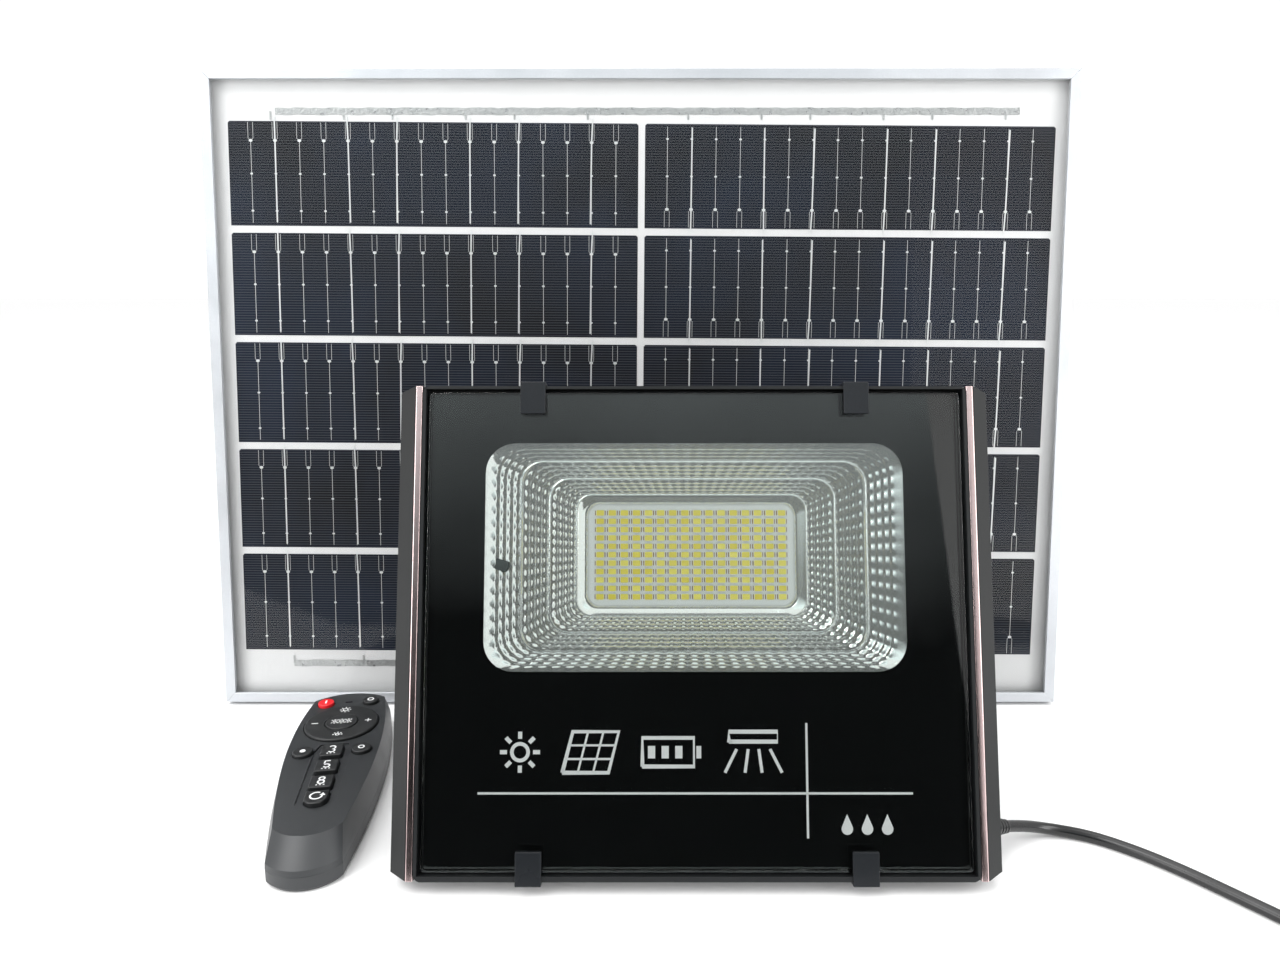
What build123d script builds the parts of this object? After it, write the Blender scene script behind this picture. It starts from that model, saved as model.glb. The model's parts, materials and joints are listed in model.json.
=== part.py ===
"""Solar flood light kit: a flood lamp, a framed solar panel and a remote control.

Each article is modelled upright in its own frame (X right, Y back, Z up, the front
face at Y = 0 and the bottom at Z = 0) and is then stood in its place on the table.
The kit's frame has Z = 0 on the table. All sizes are in millimetres and degrees.
"""
from build123d import *
from math import acos, atan2, cos, degrees, hypot, pi, radians, sin, tan
import os

# ---------------------------------------------------------------- places on the table
LAMP_X, LAMP_Y = 18.4, 0.0          # middle of the lamp's front bottom edge
LAMP_LEAN = 16.3                    # the lamp leans back
PANEL_X, PANEL_Y = 0.0, 133.0       # middle of the panel's front bottom edge
PANEL_LEAN = 5.5                    # the panel leans back
REMOTE_GAP = 36.7                   # between the lamp's tray and the middle of the remote
REMOTE_Y = 1.8                     # the remote's near end
REMOTE_YAW = 8.8                    # the remote's far end points away to the left

# ---------------------------------------------------------------- lamp: driving sizes
TRAY_W, TRAY_H, TRAY_DEPTH = 183.4, 161.5, 14.0
TRAY_CORNER = 2.5
GLASS_W, GLASS_H, GLASS_T = 179.3, 156.8, 3.2
GLASS_BASE = 2.7                    # bottom of the glass above the bottom of the tray
GLASS_SET_BACK = 0.6
GLASS_CORNER, GLASS_CHAMFER = 1.5, 0.4
GLASS_GAP = 1.0                     # all round, between the glass and the tray's lip
GASKET_T, GASKET_W = 1.6, 5.0
WINDOW_W, WINDOW_H = 142.0, 77.0
WINDOW_MID = 104.2                  # window's middle above the bottom of the tray
WINDOW_CORNER = 10.0
BODY_W, BODY_BASE, BODY_TOP = 160.0, 14.0, 152.0
WALL = 3.0
HEAT_WALL = 3.4                     # wall that carries the LED board
FIN_DEPTH, FIN_T, FIN_PITCH = 15.0, 2.0, 10.0
POCKET_ROOM = 3.8                   # battery pocket taller than its cells
END_WALL = 6.0                      # battery box ends, which take the cover screws
POCKET_FRONT = 12.5
BOARD_CAVITY_BACK = 11.0

REFLECTOR_FRONT = 3.9               # just behind the glass
REFLECTOR_WALL, FLANGE_T, FLANGE_RIM = 1.2, 1.2, 5.0
# (depth behind the front, width, height, corner radius) of each tier of the reflector
TIERS = (
    (REFLECTOR_FRONT, WINDOW_W, WINDOW_H, WINDOW_CORNER),
    (10.0, 117.9, 64.6, 8.0),
    (17.0, 99.3, 53.2, 7.0),
    (23.0, 81.4, 42.5, 5.5),
    (26.0, 73.8, 36.2, 4.5),
)
LED_BOARD_W, LED_BOARD_H, LED_BOARD_T, LED_BOARD_CORNER = 94.0, 58.0, 1.6, 2.0
LED_COLUMNS, LED_ROWS = 16, 11
LED_PITCH_X, LED_PITCH_Z = 4.37, 3.0
LED_W, LED_H, LED_T = 3.5, 2.6, 0.7
LED_SCREW_X, LED_SCREW_Z = 43.5, 25.5
SCREW_R, SCREW_HEAD_R, SCREW_HEAD_H = 1.5, 2.6, 1.8
CROSS_RIM, CROSS_W, CROSS_DEPTH = 0.8, 0.6, 0.7    # cross slot in a screw's head
COVER_SCREW_L, LED_SCREW_L, RAIL_SCREW_L, SCREW_END_GAP = 8.0, 4.0, 6.0, 0.5
SCREW_FIT = 0.05                    # radial room round a screw
RECEIVER_W, RECEIVER_H, RECEIVER_DEPTH = 10.5, 4.2, 5.0
RECEIVER_X, RECEIVER_Z = -67.6, 101.9
RECEIVER_ROOM, RECEIVER_ROUND = 0.3, 0.5

RAIL_W, RAIL_BACK = 5.6, 16.0       # side rails, outside the bright trims
RAIL_SLOPE = 3.6                    # how far the rail's face falls back to its outer edge
RAIL_FRONT, RAIL_END_CUT = 0.6, 1.8
TRIM_W, TRIM_T, TRIM_FRONT = 2.4, 1.6, 0.2
TRIM_GAP, TRIM_ROUND = 0.3, 0.5

CLIP_X, CLIP_W, CLIP_T = 54.5, 8.5, 1.2
CLIP_TAB, CLIP_HOOK, CLIP_JOG, CLIP_JOG_SLOPE, CLIP_ROOM = 9.5, 4.0, 2.0, 0.4, 0.1

CELL_R, CELL_LENGTH = 16.1, 70.5    # lithium iron phosphate cells, 32 mm size
CELL_GAP = 0.3                      # round the cells and between their ends
CAP_L, CAP_R = 1.5, 4.5             # a cell's end contact
HOLDER_WALL, HOLDER_ROOM, HOLDER_END_ROOM = 1.0, 0.3, 0.2
# controller board, and its parts as (x, height above its middle, width, height)
CONTROLLER_SIDE, CONTROLLER_END, CONTROLLER_T, CONTROLLER_PART_H = 10.0, 2.0, 1.6, 2.6
CONTROLLER_PARTS = ((-40.0, 0.0, 14.0, 10.0), (-8.0, 4.0, 9.0, 9.0), (46.0, 0.0, 10.0, 18.0))
CONTROLLER_COIL_X, CONTROLLER_COIL_R = 22.0, 5.0
COVER_T, SEAL_T, COVER_CORNER = 3.0, 0.8, 3.0
COVER_SCREW_INSET = 3.0
OPTICS_STEP = 2.0                   # optics cavity above the battery box
COVER_RIM = 1.0                     # cover's edge inside the battery box's edge
VENT_R, VENT_H, VENT_X, VENT_STEM_R, VENT_ROUND = 7.0, 4.0, 50.0, 4.0, 1.0

PIVOT_Z, PIVOT_Y = 70.0, 31.0       # bracket pivot on the lamp
BOSS_R, BOSS_L = 8.0, 8.0
BOLT_R, BOLT_HEAD_R, BOLT_HEAD_H = 4.0, 6.5, 5.3
PIVOT_FIT = 0.08                    # radial running room of the bracket on its bolts
BRACKET_LENGTH, BRACKET_STRIP, BRACKET_T = 80.0, 25.0, 2.5
BRACKET_SIDE_ROOM = 0.1
BRACKET_BEND = 6.0
WASHER_T, WASHER_R = 1.5, 8.0
CENTRE_HOLE_R, SIDE_HOLE_R, SIDE_HOLE_X = 4.25, 3.25, 40.0
ARM_ROUND_ROOM = 0.1                # a bracket arm's round end, short of a full half circle
BOLT_ROOT = 0.5                     # bolt's end outside the battery box

# ---------------------------------------------------------------- lead
CORD_R = 2.0
OUTLET_IN, OUTLET_Z = 1.0, 12.0     # where the gland's axis leaves the right rail's back
OUTLET_WAY = (0.857, 0.5, -0.12)
GLAND_BOSS_R, GLAND_BOSS_L, GLAND_BOSS_ROOT = 4.5, 4.6, 2.0
GLAND_R, GLAND_L = 4.2, 3.6
RELIEF_R, RELIEF_TIP_R, RELIEF_L = 3.3, 2.3, 8.0
CORD_STRAIGHT = 8.0                 # straight out of the strain relief
# The lead's corners after that: X and Y from the strain relief's mouth, Z above the table.
CORD_CORNERS = (
    (18.0, 7.4, 2.8),
    (32.0, 4.1, 2.0),
    (44.0, -4.9, 2.0),
    (54.6, -16.0, 2.0),
    (64.2, -28.4, 2.0),
    (74.0, -41.0, 2.0),
    (83.6, -53.6, 2.0),
)
COIL_R, COIL_W, COIL_H, COIL_ROUND = 22.0, 8.2, 8.0, 2.4
BEND_SHARE = 0.45                   # how much of a straight run each of its bends may take
PLUG_OFFSET = 2.0                   # connector's rear past the coil's middle line
COIL_ENTRY_ANGLE = 217.0            # where the lead runs on to the coil
TAIL_L = 14.0
TIE_T, TIE_W, TIE_ROUND = 0.8, 5.0, 1.6
PLUG_R, PLUG_BODY_R, PLUG_BODY_L, PLUG_REAR_R = 6.5, 5.8, 16.0, 3.2
SPIGOT_R, SPIGOT_L = 4.5, 6.0
BARREL_R, BARREL_L, BARREL_BORE_R = 2.75, 9.5, 1.05
COLLAR_L, COLLAR_NECK_L, COLLAR_MOUTH_R, COLLAR_FIT = 17.0, 5.0, 5.4, 0.1
COLLAR_GAP, COLLAR_GROOVES, GROOVE_OUT, GROOVE_R = 0.3, 18, 0.2, 0.5

# ---------------------------------------------------------------- panel: driving sizes
PANEL_W, PANEL_H, PANEL_T = 385.0, 285.0, 17.0
LIP_W, LIP_T = 4.5, 1.6
FRAME_WALL = 1.5
LAMINATE_GAP = 0.3                  # between the laminate's edge and the frame's wall
PANEL_GLASS_T, RIBBON_T, CELL_T, BACKSHEET_T = 3.2, 0.15, 0.2, 0.5
SHELF_W, SHELF_T = 6.0, 1.2
FLANGE_W, FLANGE_BACK_T = 11.0, 1.2
CELL_SIDE, CELL_END = 9.0, 22.35    # white margins beside and beyond the cells
CELL_COLUMNS, CELL_ROWS = 2, 5
COLUMN_GAP, ROW_GAP = 3.0, 3.2
CELL_TURN = -0.4                    # the cells were laid slightly turned
BUSBAR_PITCH, BUSBAR_EDGE = 10.81, 9.91
TABBED = (2, 5, 7, 10, 12, 15)      # busbars that carry a wide ribbon
TAB_W, TAB_START, TAB_END = 1.1, 8.4, 1.6
BUS_H, BUS_INSET, BUS_SIDE = 3.0, 15.5, 21.0
KEY_LEG, KEY_CLEAR = 26.0, 0.2
BOX_W, BOX_H, BOX_DEPTH, BOX_WALL = 62.0, 46.0, 13.0, 2.0
BOX_CORNER, BOX_CORNER_INSIDE = 4.0, 2.0
BOX_DROP = 70.0                     # middle of the junction box below the panel's top
LID_T, LID_CHAMFER = 2.0, 0.8
JUNCTION_GLAND_R, JUNCTION_GLAND_L, JUNCTION_GLAND_ROUND = 4.5, 9.0, 1.2
STAND_RAIL_H, STAND_RAIL_T, STAND_RAIL_Z, RAIL_HOLE_REACH = 25.0, 3.0, 120.0, 7.0
EAR_T, EAR_DEPTH, EAR_R, EAR_INSIDE = 3.0, 11.0, 7.0, 24.0
STAND_BOLT_R, STAND_FIT, STAND_HEAD_R, STAND_HEAD_H = 3.0, 0.08, 5.5, 4.0
BOLT_SHOW = 1.0                     # stand bolt's end past its knob
KNOB_R, KNOB_L, KNOB_LOBES, KNOB_ROOM = 9.0, 8.0, 8, 0.1
LOBE_OUT, LOBE_R = 0.5, 1.6
LEG_W, LEG_T, LEG_BARREL_R = 46.0, 3.0, 5.0
LEG_SPREAD = 60.0                   # foot behind the leg's pivot
LEG_FOOT = 20.0
FOOT_HOLE_R, FOOT_HOLE_X = 2.5, 14.0

# ---------------------------------------------------------------- remote: driving sizes
REMOTE_L, REMOTE_H, REMOTE_SEAM = 115.5, 15.0, 6.0
REMOTE_RIM = 8.0                    # height of the rim under the bevels
NEAR_HALF, WAIST_HALF, WIDE_HALF, FAR_HALF = 12.4, 17.6, 19.4, 16.5
NEAR_SAG, FAR_SAG = 6.0, 5.0        # how far the round ends bulge
WIDE_Y, WAIST_Y = 84.0, 42.0
SHELL_WALL = 1.8
NEAR_BEVEL, SIDE_BEVEL, FAR_BEVEL = 9.0, 2.0, 1.6
RIM_IN, RIM_NEAR_IN = 0.1, 0.3      # rim's draft at its sides and near end
INSIDE_SLOPE, INSIDE_NEAR, INSIDE_SIDE, INSIDE_END = 0.4, 1.5, 0.5, 2.0
BASE_ROUND, BASE_RISE = 1.2, 1.5    # bottom edge
KEY_ROOM = 0.25                     # all round a key in its hole
KEY_RISE, KEY_FLANGE, KEY_FLANGE_T = 1.3, 0.6, 0.8
KEY_TRAVEL, KEY_STOP_GAP = 0.6, 0.05
RING_Y, RING_R, RING_RISE, RING_ROOM = 86.0, 14.6, 1.0, 0.4
RING_LIFT = 1.0                     # underside of the ring above the keypad
WEB_INNER_R, WEB_OUTER_R, WEB_T, WEB_LIFT = 8.0, 10.0, 0.4, 0.3
CENTRE_R = 6.4
POWER_X, POWER_Y, POWER_R = 9.3, 104.6, 3.3
ROUND_X, ROUND_Y, ROUND_R = 11.0, 63.5, 3.8
TIMER_W, TIMER_L, TIMER_CORNER = 8.3, 8.2, 1.0
TIMER_FIRST_Y, TIMER_PITCH = 63.0, 11.2
AUTO_Y, AUTO_L = 30.2, 8.4
CHANNEL_HALF, CHANNEL_NEAR, CHANNEL_FAR, CHANNEL_SINK = 7.0, 22.5, 69.5, 0.5
# cut corners of the channel round the timer keys: along X and Y at its far and near ends
FAR_CUT_X, FAR_CUT_Y, NEAR_CUT_X, NEAR_CUT_Y = 1.6, 5.0, 3.0, 6.0
COIN_R, COIN_T, COIN_Y, COIN_CHAMFER, COIN_LIFT = 10.0, 3.2, 45.0, 0.5, 0.1
CELL_COVER_R, CELL_COVER_T, CELL_COVER_ROOM = 12.0, 1.6, 0.15
COIN_SLOT_L, COIN_SLOT_W, COIN_SLOT_DEPTH = 14.0, 1.8, 0.8
INSIDE_ROOM = 0.8                   # keypad and board clear of the shell's inside
KEYPAD_T, HANDSET_BOARD_T = 0.8, 1.2
EYE_R, EYE_L, EYE_Z = 2.4, 6.0, 9.0  # infrared window at the handset's far end
EYE_OUT, EYE_ROUND, EYE_OVERLAP = 0.2, 1.2, 0.5
KEY_ROUND, RING_ROUND = 0.5, 0.7


# ---------------------------------------------------------------- helpers
def front(depth):
    """Upright plane facing the viewer, at a depth behind an article's front face."""
    return Plane.XZ.offset(-depth)


def level(height):
    """Level plane at a height."""
    return Plane.XY.offset(height)


pieces = {}


def store(name, part, place):
    """Label a finished piece with its node's name and note where its article stands."""
    part.label = name
    pieces[name] = (part, place)


# ================================================================ LAMP
# the lamp stands on the back corners of its two lower clips
clip_back = TRAY_DEPTH + CLIP_ROOM + CLIP_T
clip_drop = CLIP_ROOM + CLIP_T
lamp_base = clip_back * sin(radians(LAMP_LEAN)) + clip_drop * cos(radians(LAMP_LEAN))
LAMP = Location((LAMP_X, LAMP_Y, lamp_base), (-LAMP_LEAN, 0, 0))

glass_mid = GLASS_BASE + GLASS_H / 2
glass_back = GLASS_SET_BACK + GLASS_T
ledge = glass_back + GASKET_T
led_face = TIERS[-1][0]
heat_front = led_face + LED_BOARD_T
heat_back = heat_front + HEAT_WALL
fin_back = heat_back + FIN_DEPTH
body_mid = (BODY_BASE + BODY_TOP) / 2
pocket_w = BODY_W - 2 * END_WALL
pocket_h = 2 * CELL_R + POCKET_ROOM
battery_top = BODY_BASE + pocket_h + 2 * WALL
battery_back = POCKET_FRONT + HOLDER_WALL + CELL_GAP + 2 * CELL_R
battery_mid = (BODY_BASE + battery_top) / 2
optics_base = battery_top + OPTICS_STEP
optics_top = BODY_TOP - WALL
boss_face = BODY_W / 2 + BOSS_L
cover_back = battery_back + SEAL_T + COVER_T
cover_screw_x = BODY_W / 2 - END_WALL / 2
cover_screw_reach = pocket_h / 2 - COVER_SCREW_INSET
cover_screw_z = (battery_mid - cover_screw_reach, battery_mid, battery_mid + cover_screw_reach)
cover_screws_at = [(x, z) for x in (-cover_screw_x, cover_screw_x) for z in cover_screw_z]
led_screws_at = [
    (x, WINDOW_MID + z) for x in (-LED_SCREW_X, LED_SCREW_X) for z in (-LED_SCREW_Z, LED_SCREW_Z)
]

with BuildPart() as lamp_housing:
    with BuildSketch(front(0)):
        with Locations((0, TRAY_H / 2)):
            RectangleRounded(TRAY_W, TRAY_H, TRAY_CORNER)
    extrude(amount=-TRAY_DEPTH)
    with BuildSketch(front(TRAY_DEPTH)):
        with Locations((0, body_mid)):
            Rectangle(BODY_W, BODY_TOP - BODY_BASE)
    extrude(amount=-(heat_back - TRAY_DEPTH))
    with BuildSketch(front(heat_back)):
        with Locations((0, battery_mid)):
            Rectangle(BODY_W, battery_top - BODY_BASE)
    extrude(amount=-(battery_back - heat_back))
    fin_count = int((BODY_W - FIN_T) // FIN_PITCH) + 1
    with BuildSketch(front(heat_back)):
        with Locations((0, (battery_top + BODY_TOP) / 2)):
            with GridLocations((BODY_W - FIN_T) / (fin_count - 1), 1, fin_count, 1):
                Rectangle(FIN_T, BODY_TOP - battery_top)
    extrude(amount=-(fin_back - heat_back))
    for side in (-1, 1):
        with BuildSketch(Plane.YZ.offset(side * BODY_W / 2)):
            with Locations((PIVOT_Y, PIVOT_Z)):
                Circle(BOSS_R)
        extrude(amount=side * BOSS_L)
    # seat for the glass, then the two shallow cavities behind it
    with BuildSketch(front(0)):
        with Locations((0, glass_mid)):
            Rectangle(GLASS_W + 2 * GLASS_GAP, GLASS_H + 2 * GLASS_GAP)
    extrude(amount=-ledge, mode=Mode.SUBTRACT)
    with BuildSketch(front(ledge)):
        with Locations((0, (optics_base + optics_top) / 2)):
            Rectangle(BODY_W - 2 * WALL, optics_top - optics_base)
    extrude(amount=-(heat_front - ledge), mode=Mode.SUBTRACT)
    with BuildSketch(front(ledge)):
        with Locations((0, battery_mid)):
            Rectangle(pocket_w, pocket_h)
    extrude(amount=-(BOARD_CAVITY_BACK - ledge), mode=Mode.SUBTRACT)
    # battery pocket, open at the back
    with BuildSketch(front(POCKET_FRONT)):
        with Locations((0, battery_mid)):
            Rectangle(pocket_w, pocket_h)
    extrude(amount=-(battery_back - POCKET_FRONT), mode=Mode.SUBTRACT)
    # screw holes and bolt holes
    with BuildSketch(front(battery_back)):
        with Locations(*cover_screws_at):
            Circle(SCREW_R + SCREW_FIT)
    extrude(amount=COVER_SCREW_L, mode=Mode.SUBTRACT)
    with BuildSketch(front(heat_front)):
        with Locations(*led_screws_at):
            Circle(SCREW_R + SCREW_FIT)
    extrude(amount=-(LED_SCREW_L - LED_BOARD_T + SCREW_END_GAP), mode=Mode.SUBTRACT)
    for side in (-1, 1):
        with BuildSketch(Plane.YZ.offset(side * boss_face)):
            with Locations((PIVOT_Y, PIVOT_Z)):
                Circle(BOLT_R + SCREW_FIT)
        extrude(amount=-side * BOSS_L, mode=Mode.SUBTRACT)
store("lamp_housing", lamp_housing.part, LAMP)

# side rails: sloped faces outside the tray, with a deep back edge
rail_inner = TRAY_W / 2 + TRIM_GAP + TRIM_W
rail_outer = rail_inner + RAIL_W
outlet = Plane(origin=(rail_inner + OUTLET_IN, RAIL_BACK, OUTLET_Z), z_dir=OUTLET_WAY)
with BuildPart() as side_rails:
    for side in (-1, 1):
        with BuildSketch(Plane.XY):
            with BuildLine():
                Polyline(
                    (side * TRAY_W / 2, RAIL_BACK),
                    (side * rail_outer, RAIL_BACK),
                    (side * rail_outer, RAIL_FRONT + RAIL_SLOPE),
                    (side * rail_inner, RAIL_FRONT),
                    (side * rail_inner, TRIM_FRONT + TRIM_T),
                    (side * TRAY_W / 2, TRIM_FRONT + TRIM_T),
                    close=True,
                )
            make_face()
        extrude(amount=TRAY_H)
        with BuildSketch(front(0)):
            with BuildLine():
                Polyline(
                    (side * rail_inner, 0),
                    (side * (rail_outer + 1), 0),
                    (side * (rail_outer + 1), RAIL_END_CUT * (1 + 1 / RAIL_W)),
                    close=True,
                )
            make_face()
        extrude(amount=-RAIL_BACK, mode=Mode.SUBTRACT)
        with BuildSketch(front(0)):
            with BuildLine():
                Polyline(
                    (side * rail_inner, TRAY_H),
                    (side * (rail_outer + 1), TRAY_H),
                    (side * (rail_outer + 1), TRAY_H - RAIL_END_CUT * (1 + 1 / RAIL_W)),
                    close=True,
                )
            make_face()
        extrude(amount=-RAIL_BACK, mode=Mode.SUBTRACT)
    # boss on the right rail that carries the lead's gland
    with BuildSketch(outlet.offset(-GLAND_BOSS_ROOT)):
        Circle(GLAND_BOSS_R)
    extrude(amount=GLAND_BOSS_ROOT + GLAND_BOSS_L)
store("side_rails", side_rails.part, LAMP)

with BuildPart() as edge_trims:
    with BuildSketch(Plane.XY):
        with Locations(*[(side * (TRAY_W / 2 + TRIM_GAP / 2 + TRIM_W / 2), 0) for side in (-1, 1)]):
            with Locations((0, TRIM_FRONT + TRIM_T / 2)):
                Rectangle(TRIM_W, TRIM_T)
    extrude(amount=TRAY_H)
    fillet(edge_trims.edges().filter_by(Axis.Z).group_by(Axis.Y)[0], radius=TRIM_ROUND)
store("edge_trims", edge_trims.part, LAMP)

with BuildPart() as front_glass:
    with BuildSketch(front(GLASS_SET_BACK)):
        with Locations((0, glass_mid)):
            RectangleRounded(GLASS_W, GLASS_H, GLASS_CORNER)
    extrude(amount=-GLASS_T)
    chamfer(front_glass.faces().sort_by(Axis.Y)[0].edges(), length=GLASS_CHAMFER)
store("front_glass", front_glass.part, LAMP)

with BuildPart() as glass_gasket:
    with BuildSketch(front(glass_back)):
        with Locations((0, glass_mid)):
            Rectangle(GLASS_W, GLASS_H)
            Rectangle(GLASS_W - 2 * GASKET_W, GLASS_H - 2 * GASKET_W, mode=Mode.SUBTRACT)
    extrude(amount=-GASKET_T)
store("glass_gasket", glass_gasket.part, LAMP)

# spring clips: a tab on the glass, a bridge over the tray's edge and a hook behind it
clip_front = GLASS_SET_BACK - CLIP_ROOM - CLIP_T
with BuildPart() as glass_clips:
    for x in (-CLIP_X, CLIP_X):
        for edge, way in ((0.0, 1), (TRAY_H, -1)):
            bridge_out = edge - way * (CLIP_T + CLIP_ROOM)
            with BuildSketch(Plane.YZ.offset(x)):
                with BuildLine():
                    Polyline(
                        (clip_front, edge + way * CLIP_TAB),
                        (clip_front, bridge_out),
                        (TRAY_DEPTH + CLIP_ROOM + CLIP_T, bridge_out),
                        (TRAY_DEPTH + CLIP_ROOM + CLIP_T, edge + way * CLIP_HOOK),
                        (TRAY_DEPTH + CLIP_ROOM, edge + way * CLIP_HOOK),
                        (TRAY_DEPTH + CLIP_ROOM, edge - way * CLIP_ROOM),
                        (-CLIP_ROOM, edge - way * CLIP_ROOM),
                        (-CLIP_ROOM, edge + way * CLIP_JOG),
                        (clip_front + CLIP_T, edge + way * (CLIP_JOG + CLIP_JOG_SLOPE)),
                        (clip_front + CLIP_T, edge + way * CLIP_TAB),
                        close=True,
                    )
                make_face()
            extrude(amount=CLIP_W / 2, both=True)
store("glass_clips", glass_clips.part, LAMP)


def tier_outline(tier, grow):
    """Rounded outline of one tier of the reflector, grown by a wall's thickness."""
    depth, width, height, corner = tier
    with BuildSketch(front(depth)) as outline:
        with Locations((0, WINDOW_MID)):
            RectangleRounded(width + 2 * grow, height + 2 * grow, corner + grow)
    return outline.sketch


with BuildPart() as reflector:
    for near, far in zip(TIERS, TIERS[1:]):
        loft(sections=[tier_outline(near, REFLECTOR_WALL), tier_outline(far, REFLECTOR_WALL)], ruled=True)
    with BuildSketch(front(REFLECTOR_FRONT)):
        with Locations((0, WINDOW_MID)):
            RectangleRounded(
                WINDOW_W + 2 * FLANGE_RIM, WINDOW_H + 2 * FLANGE_RIM, WINDOW_CORNER + FLANGE_RIM
            )
    extrude(amount=-FLANGE_T)
    for near, far in zip(TIERS, TIERS[1:]):
        loft(
            sections=[tier_outline(near, 0), tier_outline(far, 0)],
            ruled=True,
            mode=Mode.SUBTRACT,
        )
    # slot for the infrared receiver
    with BuildSketch(front(REFLECTOR_FRONT + FLANGE_T)):
        with Locations((RECEIVER_X, RECEIVER_Z)):
            Rectangle(RECEIVER_W + 2 * RECEIVER_ROOM, RECEIVER_H + 2 * RECEIVER_ROOM)
    extrude(amount=-(RECEIVER_DEPTH + 2 * RECEIVER_ROOM), mode=Mode.SUBTRACT)
store("reflector", reflector.part, LAMP)

with BuildPart() as led_board:
    with BuildSketch(front(led_face)):
        with Locations((0, WINDOW_MID)):
            RectangleRounded(LED_BOARD_W, LED_BOARD_H, LED_BOARD_CORNER)
        with Locations(*led_screws_at):
            Circle(SCREW_R + SCREW_FIT, mode=Mode.SUBTRACT)
    extrude(amount=-LED_BOARD_T)
store("led_board", led_board.part, LAMP)

with BuildPart() as led_chips:
    with BuildSketch(front(led_face)):
        with Locations((0, WINDOW_MID)):
            with GridLocations(LED_PITCH_X, LED_PITCH_Z, LED_COLUMNS, LED_ROWS):
                Rectangle(LED_W, LED_H)
    extrude(amount=LED_T)
store("led_chips", led_chips.part, LAMP)


def pan_screws(places, seat, length, way):
    """Pan head screws on an upright plane; way is 1 where their shanks run back, else -1."""
    with BuildPart() as screws:
        with BuildSketch(front(seat)):
            with Locations(*places):
                Circle(SCREW_R)
        extrude(amount=-way * length)
        with BuildSketch(front(seat)):
            with Locations(*places):
                Circle(SCREW_HEAD_R)
        extrude(amount=way * SCREW_HEAD_H)
        with BuildSketch(front(seat - way * SCREW_HEAD_H)):
            with Locations(*places):
                Rectangle(2 * (SCREW_HEAD_R - CROSS_RIM), CROSS_W)
                Rectangle(CROSS_W, 2 * (SCREW_HEAD_R - CROSS_RIM))
        extrude(amount=-way * CROSS_DEPTH, mode=Mode.SUBTRACT)
    return screws.part


with BuildPart() as ir_receiver:
    with BuildSketch(front(REFLECTOR_FRONT + FLANGE_T + RECEIVER_ROOM)):
        with Locations((RECEIVER_X, RECEIVER_Z)):
            Rectangle(RECEIVER_W, RECEIVER_H)
    extrude(amount=-RECEIVER_DEPTH)
    fillet(ir_receiver.edges().filter_by(Axis.Y), radius=RECEIVER_ROUND)
store("ir_receiver", ir_receiver.part, LAMP)

with BuildPart() as controller_board:
    with BuildSketch(front(BOARD_CAVITY_BACK - CONTROLLER_T)):
        with Locations((0, battery_mid)):
            Rectangle(pocket_w - 2 * CONTROLLER_SIDE, pocket_h - 2 * CONTROLLER_END)
    extrude(amount=-CONTROLLER_T)
    with BuildSketch(front(BOARD_CAVITY_BACK - CONTROLLER_T)):
        for x, above, width, height in CONTROLLER_PARTS:
            with Locations((x, battery_mid + above)):
                Rectangle(width, height)
        with Locations((CONTROLLER_COIL_X, battery_mid)):
            Circle(CONTROLLER_COIL_R)
    extrude(amount=CONTROLLER_PART_H)
store("controller_board", controller_board.part, LAMP)

cell_axis = POCKET_FRONT + HOLDER_WALL + CELL_GAP + CELL_R
with BuildPart() as battery_cells:
    for side in (-1, 1):
        with BuildSketch(Plane.YZ.offset(side * CELL_GAP / 2)):
            with Locations((cell_axis, battery_mid)):
                Circle(CELL_R)
        extrude(amount=side * (CELL_LENGTH - CAP_L))
        with BuildSketch(Plane.YZ.offset(side * (CELL_GAP / 2 + CELL_LENGTH - CAP_L))):
            with Locations((cell_axis, battery_mid)):
                Circle(CAP_R)
        extrude(amount=side * CAP_L)
store("battery_cells", battery_cells.part, LAMP)

with BuildPart() as battery_holder:
    with BuildSketch(front(POCKET_FRONT)):
        with Locations((0, battery_mid)):
            Rectangle(pocket_w - 2 * HOLDER_ROOM, pocket_h - 2 * HOLDER_ROOM)
    extrude(amount=-(CELL_R + HOLDER_WALL))
    with BuildSketch(Plane.YZ.offset(-CELL_GAP / 2 - CELL_LENGTH - HOLDER_END_ROOM)):
        with Locations((cell_axis, battery_mid)):
            Circle(CELL_R + CELL_GAP)
    extrude(amount=2 * (CELL_LENGTH + HOLDER_END_ROOM) + CELL_GAP, mode=Mode.SUBTRACT)
store("battery_holder", battery_holder.part, LAMP)

with BuildPart() as rear_cover_seal:
    with BuildSketch(front(battery_back)):
        with Locations((0, battery_mid)):
            Rectangle(BODY_W - 2 * COVER_RIM, battery_top - BODY_BASE - 2 * COVER_RIM)
            Rectangle(pocket_w, pocket_h, mode=Mode.SUBTRACT)
        with Locations(*cover_screws_at):
            Circle(SCREW_R + SCREW_FIT, mode=Mode.SUBTRACT)
    extrude(amount=-SEAL_T)
store("rear_cover_seal", rear_cover_seal.part, LAMP)

with BuildPart() as rear_cover:
    with BuildSketch(front(battery_back + SEAL_T)):
        with Locations((0, battery_mid)):
            RectangleRounded(BODY_W - 2 * COVER_RIM, battery_top - BODY_BASE - 2 * COVER_RIM, COVER_CORNER)
        with Locations(*cover_screws_at):
            Circle(SCREW_R + SCREW_FIT, mode=Mode.SUBTRACT)
        with Locations((VENT_X, battery_mid)):
            Circle(VENT_STEM_R + SCREW_FIT, mode=Mode.SUBTRACT)
    extrude(amount=-COVER_T)
store("rear_cover", rear_cover.part, LAMP)

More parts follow.
